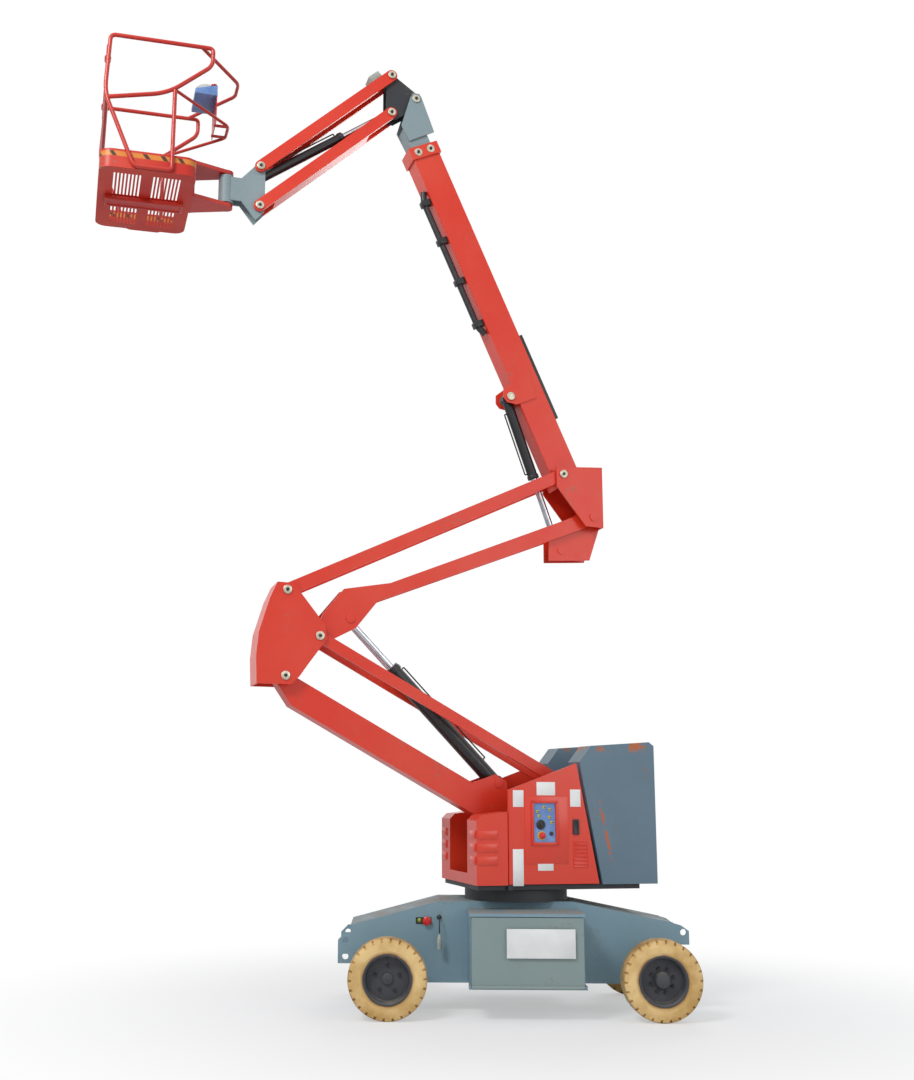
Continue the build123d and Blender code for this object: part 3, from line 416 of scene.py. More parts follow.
RED = tone(218, 46, 18)
RED_FADED = tone(224, 84, 58)
BLUE_GREY = tone(122, 152, 165)
BLUE_GREY_FADED = tone(140, 164, 172)
DUST = tone(148, 140, 128)
finishes = {
    "red_paint": paint("red_paint", RED, RED_FADED, 0.3, fading=0.35, dustiness=0.12, chips=0.3, coat=0.2),
    "red_panel": paint(
        "red_panel", tone(220, 54, 28), RED_FADED, 0.24, fading=0.25, dustiness=0.1, chips=0.15, coat=0.35,
    ),
    # basket paint: the machine's red darkened with painted shade, because the basket sits in shade
    "basket_red_painted_shade": paint(
        "basket_red_painted_shade", tone(186, 32, 18), RED_FADED, 0.3, fading=0.3, dustiness=0.1, chips=0.3, coat=0.2,
    ),
    "blue_grey_paint": paint(
        "blue_grey_paint", BLUE_GREY, BLUE_GREY_FADED, 0.42,
        fading=0.5, dustiness=0.85, chips=0.35, dust=DUST,
    ),
    "box_door_paint": paint(
        "box_door_paint", tone(132, 150, 148), tone(142, 156, 154), 0.42,
        fading=0.5, dustiness=0.5, chips=0.3, dust=DUST,
    ),
    "counterweight_paint": scraped_counterweight(),
    "grey_green_paint": paint(
        "grey_green_paint", tone(132, 150, 154), tone(150, 162, 164), 0.42, dustiness=0.2, chips=0.4,
    ),
    "toe_board": striped_toe_board(),
    "dark_paint": paint(
        "dark_paint", (0.022, 0.023, 0.027), (0.05, 0.05, 0.055), 0.45, dustiness=0.35, chips=0.2,
    ),
    "black_paint": paint(
        "black_paint", (0.012, 0.012, 0.014), (0.03, 0.03, 0.035), 0.3, dustiness=0.2, chips=0.1,
    ),
    "rim_paint": paint("rim_paint", tone(62, 63, 68), tone(84, 84, 88), 0.5, dustiness=0.5, chips=0.4),
    "rod_chrome": mottled("rod_chrome", (0.5, 0.52, 0.56), (0.66, 0.68, 0.72), 14.0, 0.2, metallic=1.0),
    "zinc": mottled("zinc", tone(176, 172, 150), tone(220, 216, 196), 40.0, 0.36, metallic=0.7, bump=0.0003),
    "dark_steel": mottled(
        "dark_steel", tone(42, 42, 46), tone(72, 70, 70), 30.0, 0.45, metallic=0.6, bump=0.0003,
    ),
    "tyre": tyre_rubber(),
    "battery_case": mottled("battery_case", (0.02, 0.02, 0.02), (0.04, 0.04, 0.04), 8.0, 0.6),
    "panel_blue": mottled("panel_blue", tone(96, 132, 190), tone(124, 158, 208), 5.0, 0.42),
    "console_plastic": mottled(
        "console_plastic", tone(176, 182, 176), tone(206, 208, 200), 6.0, 0.5, bump=0.0004,
    ),
    "hose_rubber": mottled("hose_rubber", (0.012, 0.012, 0.014), (0.03, 0.03, 0.036), 60.0, 0.5, bump=0.0003),
    "black_plastic": mottled(
        "black_plastic", (0.014, 0.014, 0.016), (0.03, 0.03, 0.034), 45.0, 0.42, bump=0.0003,
    ),
    "stop_red": mottled("stop_red", tone(196, 24, 20), tone(222, 44, 34), 25.0, 0.3),
    "signal_yellow": mottled("signal_yellow", tone(206, 178, 40), tone(226, 200, 60), 30.0, 0.4),
    "lamp_green": mottled("lamp_green", tone(132, 150, 40), tone(170, 180, 60), 30.0, 0.25),
    "sign_white": mottled("sign_white", tone(222, 224, 222), tone(238, 239, 236), 4.0, 0.4),
    "plug_grey": mottled("plug_grey", tone(150, 156, 148), tone(186, 190, 180), 20.0, 0.5, bump=0.0004),
}
own_finish = {
    "battery_door_left": "box_door_paint", "battery_door_right": "box_door_paint",
    "basket_mount": "basket_red_painted_shade", "basket_floor": "toe_board", "basket_gate": "basket_red_painted_shade",
    "basket_frame": "basket_red_painted_shade",
}
for row in frame["record"]["subparts"]:
    solid = frame["nodes"][row["node"]]
    solid.data.materials.clear()
    solid.data.materials.append(finishes[own_finish.get(row["node"], row["material_slot"])])


# Modelling by hand
SMOOTH_ANGLE = 35.0


def take(piece):
    """Make one piece the only one selected."""
    bpy.ops.object.select_all(action="DESELECT")
    piece.select_set(True)
    bpy.context.view_layer.objects.active = piece


def pick_faces(piece, wanted):
    """In edit mode, select the faces whose middle and normal pass a test."""
    mesh = bmesh.from_edit_mesh(piece.data)
    bpy.ops.mesh.select_mode(type="FACE")
    for face in mesh.faces:
        face.select_set(wanted(face.calc_center_median(), face.normal))
    bmesh.update_edit_mesh(piece.data)


def turned(name, sides, profile):
    """A round or many-sided piece on +Z, drawn up ring by ring from (radius, height) pairs."""
    bpy.ops.object.select_all(action="DESELECT")
    radius, height = profile[0]
    bpy.ops.mesh.primitive_circle_add(
        vertices=sides, radius=radius, fill_type="NGON", location=(0.0, 0.0, height),
    )
    piece = bpy.context.active_object
    piece.name = name
    bpy.ops.object.transform_apply(location=True, rotation=True, scale=True)
    bpy.ops.object.mode_set(mode="EDIT")
    bpy.ops.mesh.select_mode(type="FACE")
    bpy.ops.mesh.select_all(action="SELECT")
    for next_radius, next_height in profile[1:]:
        bpy.ops.mesh.extrude_region_move(TRANSFORM_OT_translate={"value": (0.0, 0.0, next_height - height)})
        share = next_radius / radius
        bpy.ops.transform.resize(value=(share, share, 1.0), center_override=(0.0, 0.0, next_height))
        radius, height = next_radius, next_height
    bpy.ops.mesh.select_all(action="SELECT")
    bpy.ops.mesh.normals_make_consistent(inside=False)
    bpy.ops.object.mode_set(mode="OBJECT")
    return piece


def bevelled(piece, width, segments=2):
    """Round the sharp edges of a piece."""
    take(piece)
    rounding = piece.modifiers.new("edges", "BEVEL")
    rounding.width = width
    rounding.segments = segments
    rounding.limit_method = "ANGLE"
    bpy.ops.object.modifier_apply(modifier=rounding.name)
    return piece


def block(name, size, edge, border=0.0, step=0.0):
    """A block on +Z with rounded edges; its top face may have a border and a step up or down inside it."""
    bpy.ops.object.select_all(action="DESELECT")
    bpy.ops.mesh.primitive_cube_add(size=1.0, location=(0.0, 0.0, size[2] / 2.0), scale=size)
    piece = bpy.context.active_object
    piece.name = name
    bpy.ops.object.transform_apply(location=True, rotation=True, scale=True)
    if border:
        bpy.ops.object.mode_set(mode="EDIT")
        pick_faces(piece, lambda middle, normal: normal.z > 0.9)
        bpy.ops.mesh.inset(thickness=border)
        bpy.ops.mesh.extrude_region_move(TRANSFORM_OT_translate={"value": (0.0, 0.0, step)})
        bpy.ops.object.mode_set(mode="OBJECT")
    return bevelled(piece, edge)


def ring(name, outer, inner, length, sides=40):
    """A plain collar round +Z with rounded edges."""
    bpy.ops.object.select_all(action="DESELECT")
    bpy.ops.mesh.primitive_cylinder_add(
        vertices=sides, radius=outer, depth=length, end_fill_type="NOTHING",
        location=(0.0, 0.0, length / 2.0),
    )
    piece = bpy.context.active_object
    piece.name = name
    bpy.ops.object.transform_apply(location=True, rotation=True, scale=True)
    wall = piece.modifiers.new("wall", "SOLIDIFY")
    wall.thickness = outer - inner
    wall.offset = -1.0
    bpy.ops.object.modifier_apply(modifier=wall.name)
    return bevelled(piece, min(0.003, (outer - inner) / 4.0))


def plate(name, outline, thickness, edge):
    """A flat plate on +Z with an outline of (x, y) points and rounded edges."""
    bpy.ops.object.select_all(action="DESELECT")
    bpy.ops.mesh.primitive_circle_add(vertices=len(outline), radius=1.0, fill_type="NGON")
    piece = bpy.context.active_object
    piece.name = name
    for corner, (x, y) in zip(piece.data.vertices, outline):
        corner.co = (x, y, 0.0)
    bpy.ops.object.mode_set(mode="EDIT")
    bpy.ops.mesh.select_mode(type="FACE")
    bpy.ops.mesh.select_all(action="SELECT")
    bpy.ops.mesh.extrude_region_move(TRANSFORM_OT_translate={"value": (0.0, 0.0, thickness)})
    bpy.ops.mesh.select_all(action="SELECT")
    bpy.ops.mesh.normals_make_consistent(inside=False)
    bpy.ops.object.mode_set(mode="OBJECT")
    return bevelled(piece, edge)


def spline(name, points, radius, resolution):
    """A round tube along one open smooth line through a row of control points."""
    data = bpy.data.curves.new(name, "CURVE")
    data.dimensions = "3D"
    data.bevel_depth = radius
    data.bevel_resolution = 4
    data.use_fill_caps = True
    data.resolution_u = resolution
    line = data.splines.new("NURBS")
    line.points.add(len(points) - 1)
    for target, point in zip(line.points, points):
        target.co = (*point, 1.0)
    line.order_u = 3
    line.use_endpoint_u = True
    piece = bpy.data.objects.new(name, data)
    bpy.context.collection.objects.link(piece)
    return piece


def bent_tube(name, corners, radius, bends):
    """A steel tube with straight runs and rounded bends, as a mesh; one bend for each inner corner."""
    points = [corners[0]]
    for before, corner, after, bend in zip(corners, corners[1:], corners[2:], bends):
        points += [
            corner + (before - corner).normalized() * bend,
            corner,
            corner + (after - corner).normalized() * bend,
        ]
    points.append(corners[-1])
    piece = spline(name, points, radius, resolution=8)
    take(piece)
    bpy.ops.object.convert(target="MESH")
    return bpy.context.active_object


def stand(place, outward, along=None):
    """Where a piece modelled on +Z stands: its foot, the way it faces, and the way its own X points."""
    outward = Vector(outward).normalized()
    along = Vector(along) if along is not None else outward.orthogonal()
    along = (along - outward * along.dot(outward)).normalized()
    side = outward.cross(along)
    return Matrix.Translation(place) @ Matrix((along, side, outward)).transposed().to_4x4()


def set_out(piece, stands):
    """Copy a piece to each stand, every copy with its own mesh, and join the copies."""
    name = piece.name
    copies = []
    for place in stands:
        copy = piece.copy()
        copy.data = piece.data.copy()
        bpy.context.collection.objects.link(copy)
        copy.matrix_world = place
        copies.append(copy)
    bpy.data.objects.remove(piece)
    bpy.ops.object.select_all(action="DESELECT")
    for copy in copies:
        copy.select_set(True)
    bpy.context.view_layer.objects.active = copies[0]
    bpy.ops.object.transform_apply(location=True, rotation=True, scale=True)
    if len(copies) > 1:
        bpy.ops.object.join()
    joined = bpy.context.active_object
    joined.name = name
    return joined


def together(name, pieces):
    """Join pieces that are already in place."""
    bpy.ops.object.select_all(action="DESELECT")
    for piece in pieces:
        piece.select_set(True)
    bpy.context.view_layer.objects.active = pieces[0]
    bpy.ops.object.join()
    joined = bpy.context.active_object
    joined.name = name
    return joined


def finish_piece(piece, finish, body):
    """Give a mesh piece its finish and its body."""
    take(piece)
    bpy.ops.object.shade_smooth_by_angle(angle=math.radians(SMOOTH_ANGLE))
    piece.data.materials.clear()
    piece.data.materials.append(finishes[finish])
    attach(piece, body)
    return piece


def put(piece, place, finish, body):
    """Set one piece on its stand, with its finish and its body."""
    return finish_piece(set_out(piece, [place]), finish, body)


# Wheels
AXLE_REACH = 1.0
WHEEL_OUT = 0.655
NUT_SEAT = 0.012
HUB_SEAT = 0.0225
FIRST_NUT = 0.3
TYRE_STEPS = 104
SLIT_EVERY = 4
SLIT_RADIUS = 0.265
SLIT_OFF_MIDDLE = 0.06
SLIT_DEPTH = 0.016
TYRE_SECTION = (
    (0.1805, -0.084), (0.214, -0.0945), (0.262, -0.0935), (0.284, -0.08), (0.29, -0.062),
    (0.29, 0.062), (0.284, 0.08), (0.262, 0.0935), (0.214, 0.0945), (0.1805, 0.084),
)
WHEEL_NUT = ((0.013, -0.001), (0.013, 0.01), (0.0115, 0.012), (0.007, 0.012), (0.0065, 0.02))
DRIVE_CAP = ((0.04, 0.0), (0.04, 0.008), (0.034, 0.012), (0.012, 0.012), (0.01, 0.018))
STEER_CAP = ((0.062, -0.001), (0.062, 0.02), (0.05, 0.042), (0.03, 0.05), (0.01, 0.052))


def lugged_tyre(name, x, y):
    """A solid tyre spun from its section, with slits cut into both shoulders."""
    bpy.ops.object.select_all(action="DESELECT")
    bpy.ops.mesh.primitive_circle_add(vertices=len(TYRE_SECTION), radius=1.0, fill_type="NOTHING")
    piece = bpy.context.active_object
    piece.name = name
    for corner, (radius, across) in zip(piece.data.vertices, TYRE_SECTION):
        corner.co = (x + radius, y + across, AXLE_HEIGHT)
    bpy.ops.object.mode_set(mode="EDIT")
    bpy.ops.mesh.select_all(action="SELECT")
    bpy.ops.mesh.spin(
        steps=TYRE_STEPS, angle=2.0 * math.pi, center=(x, y, AXLE_HEIGHT), axis=(0.0, 1.0, 0.0),
    )
    bpy.ops.mesh.select_all(action="SELECT")
    bpy.ops.mesh.remove_doubles(threshold=0.0005)
    bpy.ops.mesh.normals_make_consistent(inside=False)

    def in_slit(middle, normal):
        turn = math.degrees(math.atan2(middle.z - AXLE_HEIGHT, middle.x - x)) % 360.0
        reach = math.hypot(middle.x - x, middle.z - AXLE_HEIGHT)
        step = int(turn / (360.0 / TYRE_STEPS))
        return step % SLIT_EVERY == 0 and reach > SLIT_RADIUS and abs(middle.y - y) > SLIT_OFF_MIDDLE

    pick_faces(piece, in_slit)
    bpy.ops.mesh.extrude_region_shrink_fatten(TRANSFORM_OT_shrink_fatten={"value": -SLIT_DEPTH})
    bpy.ops.object.mode_set(mode="OBJECT")
    return piece


def dress_wheel(corner, x, side, nut_count, nut_circle, cap):
    """A wheel's slit tyre, its ring of nuts and its hub cap."""
    body = f"wheel_{corner}"
    y = side * WHEEL_OUT
    outward = (0.0, side, 0.0)
    tyre = finish_piece(lugged_tyre(f"lugged_tyre_{corner}", x, y), "tyre", body)
    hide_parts(f"tyre_{corner}")
    stands = []
    for step in range(nut_count):
        turn = 2.0 * math.pi * step / nut_count + FIRST_NUT
        across = x + nut_circle * math.cos(turn)
        height = AXLE_HEIGHT + nut_circle * math.sin(turn)
        stands.append(stand((across, y + side * NUT_SEAT, height), outward))
    finish_piece(set_out(turned(f"wheel_nuts_{corner}", 6, WHEEL_NUT), stands), "dark_steel", body)
    hub = turned(f"hub_cap_{corner}", 36, cap)
    put(hub, stand((x, y + side * HUB_SEAT, AXLE_HEIGHT), outward), "rim_paint", body)


for axle, x, nut_count, nut_circle, cap in (
    ("drive", -AXLE_REACH, 5, 0.092, DRIVE_CAP),
    ("steer", AXLE_REACH, 8, 0.086, STEER_CAP),
):
    for hand, side in (("left", -1.0), ("right", 1.0)):
        dress_wheel(f"{axle}_{hand}", x, side, nut_count, nut_circle, cap)

# Pins: pale washers, most with a dark bolt in the middle
WASHER = ((0.034, -0.001), (0.034, 0.0035), (0.031, 0.005), (0.012, 0.005))
BOLT = ((0.014, 0.003), (0.014, 0.012), (0.0115, 0.0145), (0.006, 0.0145))
PIN_ROUND = 0.045
SHORTEST_PIN = 0.02
JIB_PIN_RISE = 0.35
COLLAR_RUN = 3.031
COLLAR_HALF_WIDTH = 0.11


def pin_ends(name, body, centres, outer, bolted=True):
    """Washers on both ends of pins that lie across the machine, and bolts where there is room."""
    stands = [stand(centre + NEAR * side * outer, NEAR * side) for centre in centres for side in (1.0, -1.0)]
    finish_piece(set_out(turned(f"washers_{name}", 28, WASHER), stands), "zinc", body)
    if bolted:
        finish_piece(set_out(turned(f"bolts_{name}", 6, BOLT), stands), "dark_steel", body)


def outer_face(node, centre):
    """How far out to the left a node's mesh reaches round a pin."""
    far = 0.0
    for vertex in frame["nodes"][node].data.vertices:
        off = vertex.co - centre
        out = off.dot(NEAR)
        if (off - NEAR * out).length < PIN_ROUND:
            far = max(far, out)
    return far


for name, body, node, joints in (
    (
        "lower_knuckle", "lower_knuckle", "lower_knuckle",
        ("lower_knuckle_level", "upper_arm_follow", "upper_link_follow"),
    ),
    ("boom_pivot", "upper_knuckle", "upper_knuckle", ("boom_lift",)),
    ("boom_eye", "main_boom", "main_boom", ("boom_barrel_swing",)),
    ("jib_bracket", "jib_bracket", "jib_bracket", ("jib_lift", "jib_upper_follow")),
    ("jib_end", "jib_end_bracket", "jib_end_bracket", ("jib_end_level",)),
    ("boom_head", "inner_boom", "boom_head", ("jib_bracket_level",)),
):
    for joint in joints:
        reach = outer_face(node, PINS[joint])
        if reach > SHORTEST_PIN:
            pin_ends(f"{name}_{joint}", body, [PINS[joint]], reach, bolted=name != "boom_eye")
jib_top_end = PINS["jib_end_level"] + UP * JIB_PIN_RISE
pin_ends("jib_top_end", "jib_end_bracket", [jib_top_end], outer_face("jib_end_bracket", jib_top_end))
collar_pins = [boom_spot(COLLAR_RUN, under, 0.0) for under in (-0.106, 0.014)]
pin_ends("collar", "main_boom", collar_pins, COLLAR_HALF_WIDTH)

# Boom: cable tray, carrier tube with its clamps, and cylinder pipes
TRAY_PLACE = (0.86, -0.1715, 0.0)
CARRIER_OFF = 0.04
CARRIER_LINE = ((1.36, 0.09), (1.44, 0.124), (2.62, 0.124), (2.7, 0.09))
CLAMP_SEAT = 0.0705
CLAMP_RUNS = (1.46, 1.86, 2.24, 2.6)
PIPE_RADIUS = 0.006
PIPE_LIFT = 0.02
PIPE_BENDS = (0.014, 0.014)
PIPE_SEAT = 0.8
GLAND_LIP = 0.006
GLAND_BITE = 0.004
GLAND_LENGTH = 0.034
GLAND_PAST_PIPE = 0.02
along_boom = boom_spot(1.0, 0.0, 0.0) - boom_spot(0.0, 0.0, 0.0)
under_boom = boom_spot(0.0, 1.0, 0.0) - boom_spot(0.0, 0.0, 0.0)
tray = block("boom_cable_tray", (0.78, 0.12, 0.046), 0.004, border=0.012, step=-0.006)
put(tray, stand(boom_spot(*TRAY_PLACE), -under_boom, along_boom), "black_plastic", "main_boom")
carrier_corners = [boom_spot(run, under, CARRIER_OFF) for run, under in CARRIER_LINE]
carrier = bent_tube("boom_cable_carrier", carrier_corners, 0.026, (0.05, 0.05))
finish_piece(carrier, "black_plastic", "main_boom")
clamp = block("boom_carrier_clamps", (0.05, 0.075, 0.084), 0.004, border=0.012, step=0.004)
finish_piece(set_out(clamp, [
    stand(boom_spot(run, CLAMP_SEAT, CARRIER_OFF), under_boom, along_boom) for run in CLAMP_RUNS
]), "black_paint", "main_boom")


def cylinder_pipe(name, body, foot, head, radius, run, towards):
    """A thin steel pipe along a cylinder barrel, hooked in at both ends, and the gland ring at its mouth."""
    line = (head - foot).normalized()
    off = (towards - line * towards.dot(line)).normalized()
    start = foot + line * run[0]
    end = foot + line * run[1]
    seat = off * radius * PIPE_SEAT
    lifted = off * (radius + PIPE_LIFT)
    corners = [start + seat, start + lifted, end + lifted, end + seat]
    finish_piece(bent_tube(f"{name}_pipe", corners, PIPE_RADIUS, PIPE_BENDS), "dark_steel", body)
    gland = ring(f"{name}_gland", radius + GLAND_LIP, radius - GLAND_BITE, GLAND_LENGTH)
    put(gland, stand(end + line * GLAND_PAST_PIPE, line), "dark_steel", body)


for name, (head_u, head_z), radius, run, towards in (
    ("lift", (-1.3825, 2.959), 0.06, (0.2, 1.17), UP),
    ("boom", (0.4128, 3.6002), 0.042, (0.12, 0.66), -REAR),
    ("jib", (-1.037, 7.41), 0.038, (0.14, 0.84), UP),
):
    foot = PINS[f"{name}_barrel_swing"]
    head = spot(head_u, 0.0, head_z)
    cylinder_pipe(f"{name}_cylinder", f"{name}_barrel", foot, head, radius, run, towards)

# Jib: the junction box on its upper tube
jib_way = jib_spot(1.0, 0.0, 0.0) - jib_spot(0.0, 0.0, 0.0)
jib_top = jib_spot(0.0, 1.0, 0.0) - jib_spot(0.0, 0.0, 0.0)
junction = block("jib_junction_box", (0.11, 0.13, 0.06), 0.005, border=0.01, step=0.004)
put(junction, stand(jib_spot(0.12, 0.047, 0.0), jib_top, jib_way), "plug_grey", "jib_upper_tube")

# Turret: door pads, latches, vents and fairing ribs on both sides
SINK = 0.001
DOOR_SKIN = COVER_HALF_WIDTH - SINK
PAD_OUTLINE = [(-0.175, -0.25), (0.175, -0.25), (0.175, 0.25), (-0.175, 0.25)]
VENT_PLACE = 0.365
LOWEST_SLAT = 1.09
SLAT_PITCH = 0.03
SLAT_COUNT = 6
RIB_FEET = (1.09, 1.185, 1.28)
RIB_HEIGHT = 0.062
for side, name in ((1.0, "left"), (-1.0, "right")):
    door = f"turret_door_{name}"
    out = NEAR * side
    way = REAR * side
    pad = plate(f"door_pad_{name}", PAD_OUTLINE, 0.005, 0.003)
    put(pad, stand(spot(0.09, side * DOOR_SKIN, 1.345), out, way), "red_panel", door)
    latch = block(f"door_latch_{name}", (0.05, 0.115, 0.012), 0.005, border=0.012, step=-0.007)
    put(latch, stand(spot(0.33, side * DOOR_SKIN, 1.368), out, way), "black_plastic", door)
    vent = block(f"door_vent_{name}", (0.12, 0.2, 0.005), 0.002, border=0.006, step=-0.002)
    put(vent, stand(spot(VENT_PLACE, side * DOOR_SKIN, 1.165), out, way), "red_paint", door)
    slat = block(f"door_vent_slats_{name}", (0.1, 0.011, 0.007), 0.0025, border=0.002, step=0.001)
    finish_piece(set_out(slat, [
        stand(spot(VENT_PLACE, side * DOOR_SKIN, LOWEST_SLAT + SLAT_PITCH * step), out, way)
        for step in range(SLAT_COUNT)
    ]), "red_paint", door)
    for kind, width, u, w, facing, along in (
        ("fairing_rib", 0.16, -0.385, DOOR_SKIN, out, way),
        ("fairing_front_rib", 0.13, -0.469, 0.375, -REAR, NEAR),
    ):
        for row, foot in enumerate(RIB_FEET):
            rib = block(f"{kind}_{name}_{row}", (width, RIB_HEIGHT, 0.008), 0.0035, border=0.008, step=0.002)
            middle = spot(u, side * w, foot + RIB_HEIGHT / 2.0)
            put(rib, stand(middle, facing, along), "red_panel", "turret")

# Control panel on the left door: its frame and fittings
PANEL_OUT = COVER_HALF_WIDTH + 0.0043
MUSHROOM = ((0.016, -0.001), (0.016, 0.012), (0.026, 0.014), (0.026, 0.022), (0.018, 0.027), (0.006, 0.028))
KEY_SWITCH = (
    (0.036, -0.001), (0.036, 0.006), (0.032, 0.009), (0.022, 0.009), (0.02, 0.005), (0.008, 0.005),
    (0.007, 0.014),
)
STOP_BASE = ((0.032, -0.001), (0.032, 0.004), (0.029, 0.005), (0.018, 0.005))
KNOB = ((0.015, -0.001), (0.015, 0.008), (0.011, 0.013), (0.005, 0.013))
TOGGLE_COLLAR = ((0.012, -0.001), (0.012, 0.003), (0.008, 0.005), (0.005, 0.005))
TOGGLE = ((0.003, 0.003), (0.0045, 0.018), (0.004, 0.021), (0.002, 0.022))
KEY_PLACES = ((0.043, 1.386),)
STOP_PLACES = ((0.049, 1.305),)
KNOB_PLACES = ((0.128, 1.319),)
TOGGLE_PLACES = (
    (0.019, 1.484), (0.071, 1.516), (0.118, 1.498), (0.114, 1.442), (0.132, 1.403), (0.03, 1.45),
)
upright = block("panel_frame_long", (0.02, 0.33, 0.016), 0.004, border=0.004, step=0.001)
crossbar = block("panel_frame_short", (0.216, 0.02, 0.016), 0.004, border=0.004, step=0.001)
frame_parts = [
    set_out(upright, [stand(spot(u, COVER_HALF_WIDTH, 1.4), NEAR, REAR) for u in (-0.025, 0.173)]),
    set_out(crossbar, [stand(spot(0.074, COVER_HALF_WIDTH, z), NEAR, REAR) for z in (1.243, 1.557)]),
]
finish_piece(together("panel_frame", frame_parts), "red_paint", "turret_door_left")
for name, sides, profile, places, finish in (
    ("panel_key_switch", 32, KEY_SWITCH, KEY_PLACES, "dark_steel"),
    ("panel_stop_base", 32, STOP_BASE, STOP_PLACES, "signal_yellow"),
    ("panel_stop_button", 32, MUSHROOM, STOP_PLACES, "stop_red"),
    ("panel_knob", 24, KNOB, KNOB_PLACES, "black_plastic"),
    ("panel_toggle_collars", 12, TOGGLE_COLLAR, TOGGLE_PLACES, "signal_yellow"),
    ("panel_toggles", 10, TOGGLE, TOGGLE_PLACES, "dark_steel"),
):
    stands = [stand(spot(u, PANEL_OUT, z), NEAR, REAR) for u, z in places]
    finish_piece(set_out(turned(name, sides, profile), stands), finish, "turret_door_left")

# Blank plates where the machine carries its signs
CHASSIS_LEFT = (0.0, -1.0, 0.0)
CHASSIS_REAR = (1.0, 0.0, 0.0)


def blank_plate(name, size, place, body):
    """A white plate with a low border."""
    put(block(name, size, 0.0012, border=0.006, step=0.0008), place, "sign_white", body)


battery_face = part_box("battery_door_left")[0][1]
battery_stand = stand((0.115, battery_face + 0.0005, 0.55), CHASSIS_LEFT, CHASSIS_REAR)
blank_plate("battery_sign", (0.5, 0.205, 0.004), battery_stand, "battery_door_left")
for name, size, u, z in (
    ("door_plate_top", (0.15, 0.1, 0.003), 0.09, 1.655),
    ("door_plate_low", (0.125, 0.11, 0.003), 0.08, 1.1),
    ("door_plate_front", (0.085, 0.125, 0.003), -0.135, 1.58),
    ("door_plate_rear", (0.085, 0.13, 0.003), 0.33, 1.585),
    ("door_plate_foot", (0.085, 0.27, 0.003), -0.14, 1.07),
):
    blank_plate(name, size, stand(spot(u, DOOR_SKIN, z), NEAR, REAR), "turret_door_left")

# Chassis: stop button, lamp, charging lead and its plug
CHASSIS_SIDE = -0.3
PLATE_FACE = CHASSIS_SIDE - 0.003
CHASSIS_LAMP = ((0.015, -0.001), (0.015, 0.006), (0.011, 0.01), (0.004, 0.012))
LEAD_GLAND = ((0.018, -0.001), (0.018, 0.008), (0.013, 0.01), (0.011, 0.022), (0.007, 0.0245))
CHARGING_PLUG = (
    (0.008, -0.012), (0.009, 0.004), (0.017, 0.02), (0.018, 0.05), (0.0205, 0.052), (0.0205, 0.06),
    (0.0185, 0.062), (0.0185, 0.1), (0.015, 0.104),
)
LEAD_EXIT = (-0.612, -0.324, 0.691)
LEAD_ROUTE = (
    (0.0, 0.0), (0.023, 0.0), (0.044, 0.013), (0.054, 0.036), (0.055, 0.066), (0.052, 0.098), (0.051, 0.126),
)
stop_plate = block("chassis_stop_plate", (0.12, 0.05, 0.004), 0.0015, border=0.004, step=-0.001)
plate_stand = stand((-0.73, CHASSIS_SIDE + SINK, 0.664), CHASSIS_LEFT, CHASSIS_REAR)
put(stop_plate, plate_stand, "black_plastic", "chassis")
stop_button = turned("chassis_stop_button", 32, tuple((r * 1.25, h * 1.3) for r, h in MUSHROOM))
put(stop_button, stand((-0.705, PLATE_FACE, 0.664), CHASSIS_LEFT), "stop_red", "chassis")
lamp = turned("chassis_lamp", 20, CHASSIS_LAMP)
put(lamp, stand((-0.762, PLATE_FACE, 0.668), CHASSIS_LEFT), "lamp_green", "chassis")
gland = turned("lead_gland", 24, LEAD_GLAND)
put(gland, stand((LEAD_EXIT[0], CHASSIS_SIDE, LEAD_EXIT[2]), CHASSIS_LEFT), "black_plastic", "chassis")
lead_points = [(LEAD_EXIT[0], LEAD_EXIT[1] - out, LEAD_EXIT[2] - drop) for out, drop in LEAD_ROUTE]
lead = spline("charging_lead", lead_points, 0.0045, 16)
lead.data.materials.append(finishes["hose_rubber"])
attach(lead, "chassis")
plug = turned("charging_plug", 28, CHARGING_PLUG)
put(plug, stand(lead_points[-1], (0.0, 0.008, -1.0)), "plug_grey", "chassis")

# Basket: bowed hoops, front bars, rear rails and the stays of the board
FLOOR = 6.3
HOOP_W = 0.577
HOOP_TOP = 7.393
HOOP_BACK = -2.66
LOW_RAIL = 7.0
HOOP_LINE = (
    (-2.945, 6.99), (-2.945, 6.317), (-3.235, 6.317), (-3.478, 6.9), (-3.455, HOOP_TOP),
    (HOOP_BACK, HOOP_TOP), (HOOP_BACK, 7.243), (-3.0, 6.96), (-3.462, 6.86),
)
HOOP_BENDS = (0.07, 0.09, 0.2, 0.09, 0.07, 0.11, 0.25)
hoops = [
    bent_tube("hoop", [spot(u, side * HOOP_W, z) for u, z in HOOP_LINE], 0.017, HOOP_BENDS)
    for side in (1.0, -1.0)
]
for start, bow, z, radius in ((-2.75, -2.398, HOOP_TOP, 0.015), (-2.952, -2.47, LOW_RAIL, 0.013)):
    corners = [spot(start, HOOP_W, z), spot(bow, 0.1, z), spot(bow, -0.1, z), spot(start, -HOOP_W, z)]
    hoops.append(bent_tube("rear_rail", corners, radius, (0.09, 0.09)))
for u, z in ((-3.467, 7.29), (-3.462, 6.86)):
    corners = [spot(u, w, z) for w in (HOOP_W, 0.0, -HOOP_W)]
    hoops.append(bent_tube("front_bar", corners, 0.0155, (0.1,)))
for w in (0.09, -0.09):
    corners = [spot(u, w, LOW_RAIL) for u in (-2.59, -2.53, -2.465)]
    hoops.append(bent_tube("board_stay", corners, 0.012, (0.02,)))
basket = finish_piece(together("basket_hoops", hoops), "basket_red_painted_shade", "basket")
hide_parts("basket_frame")

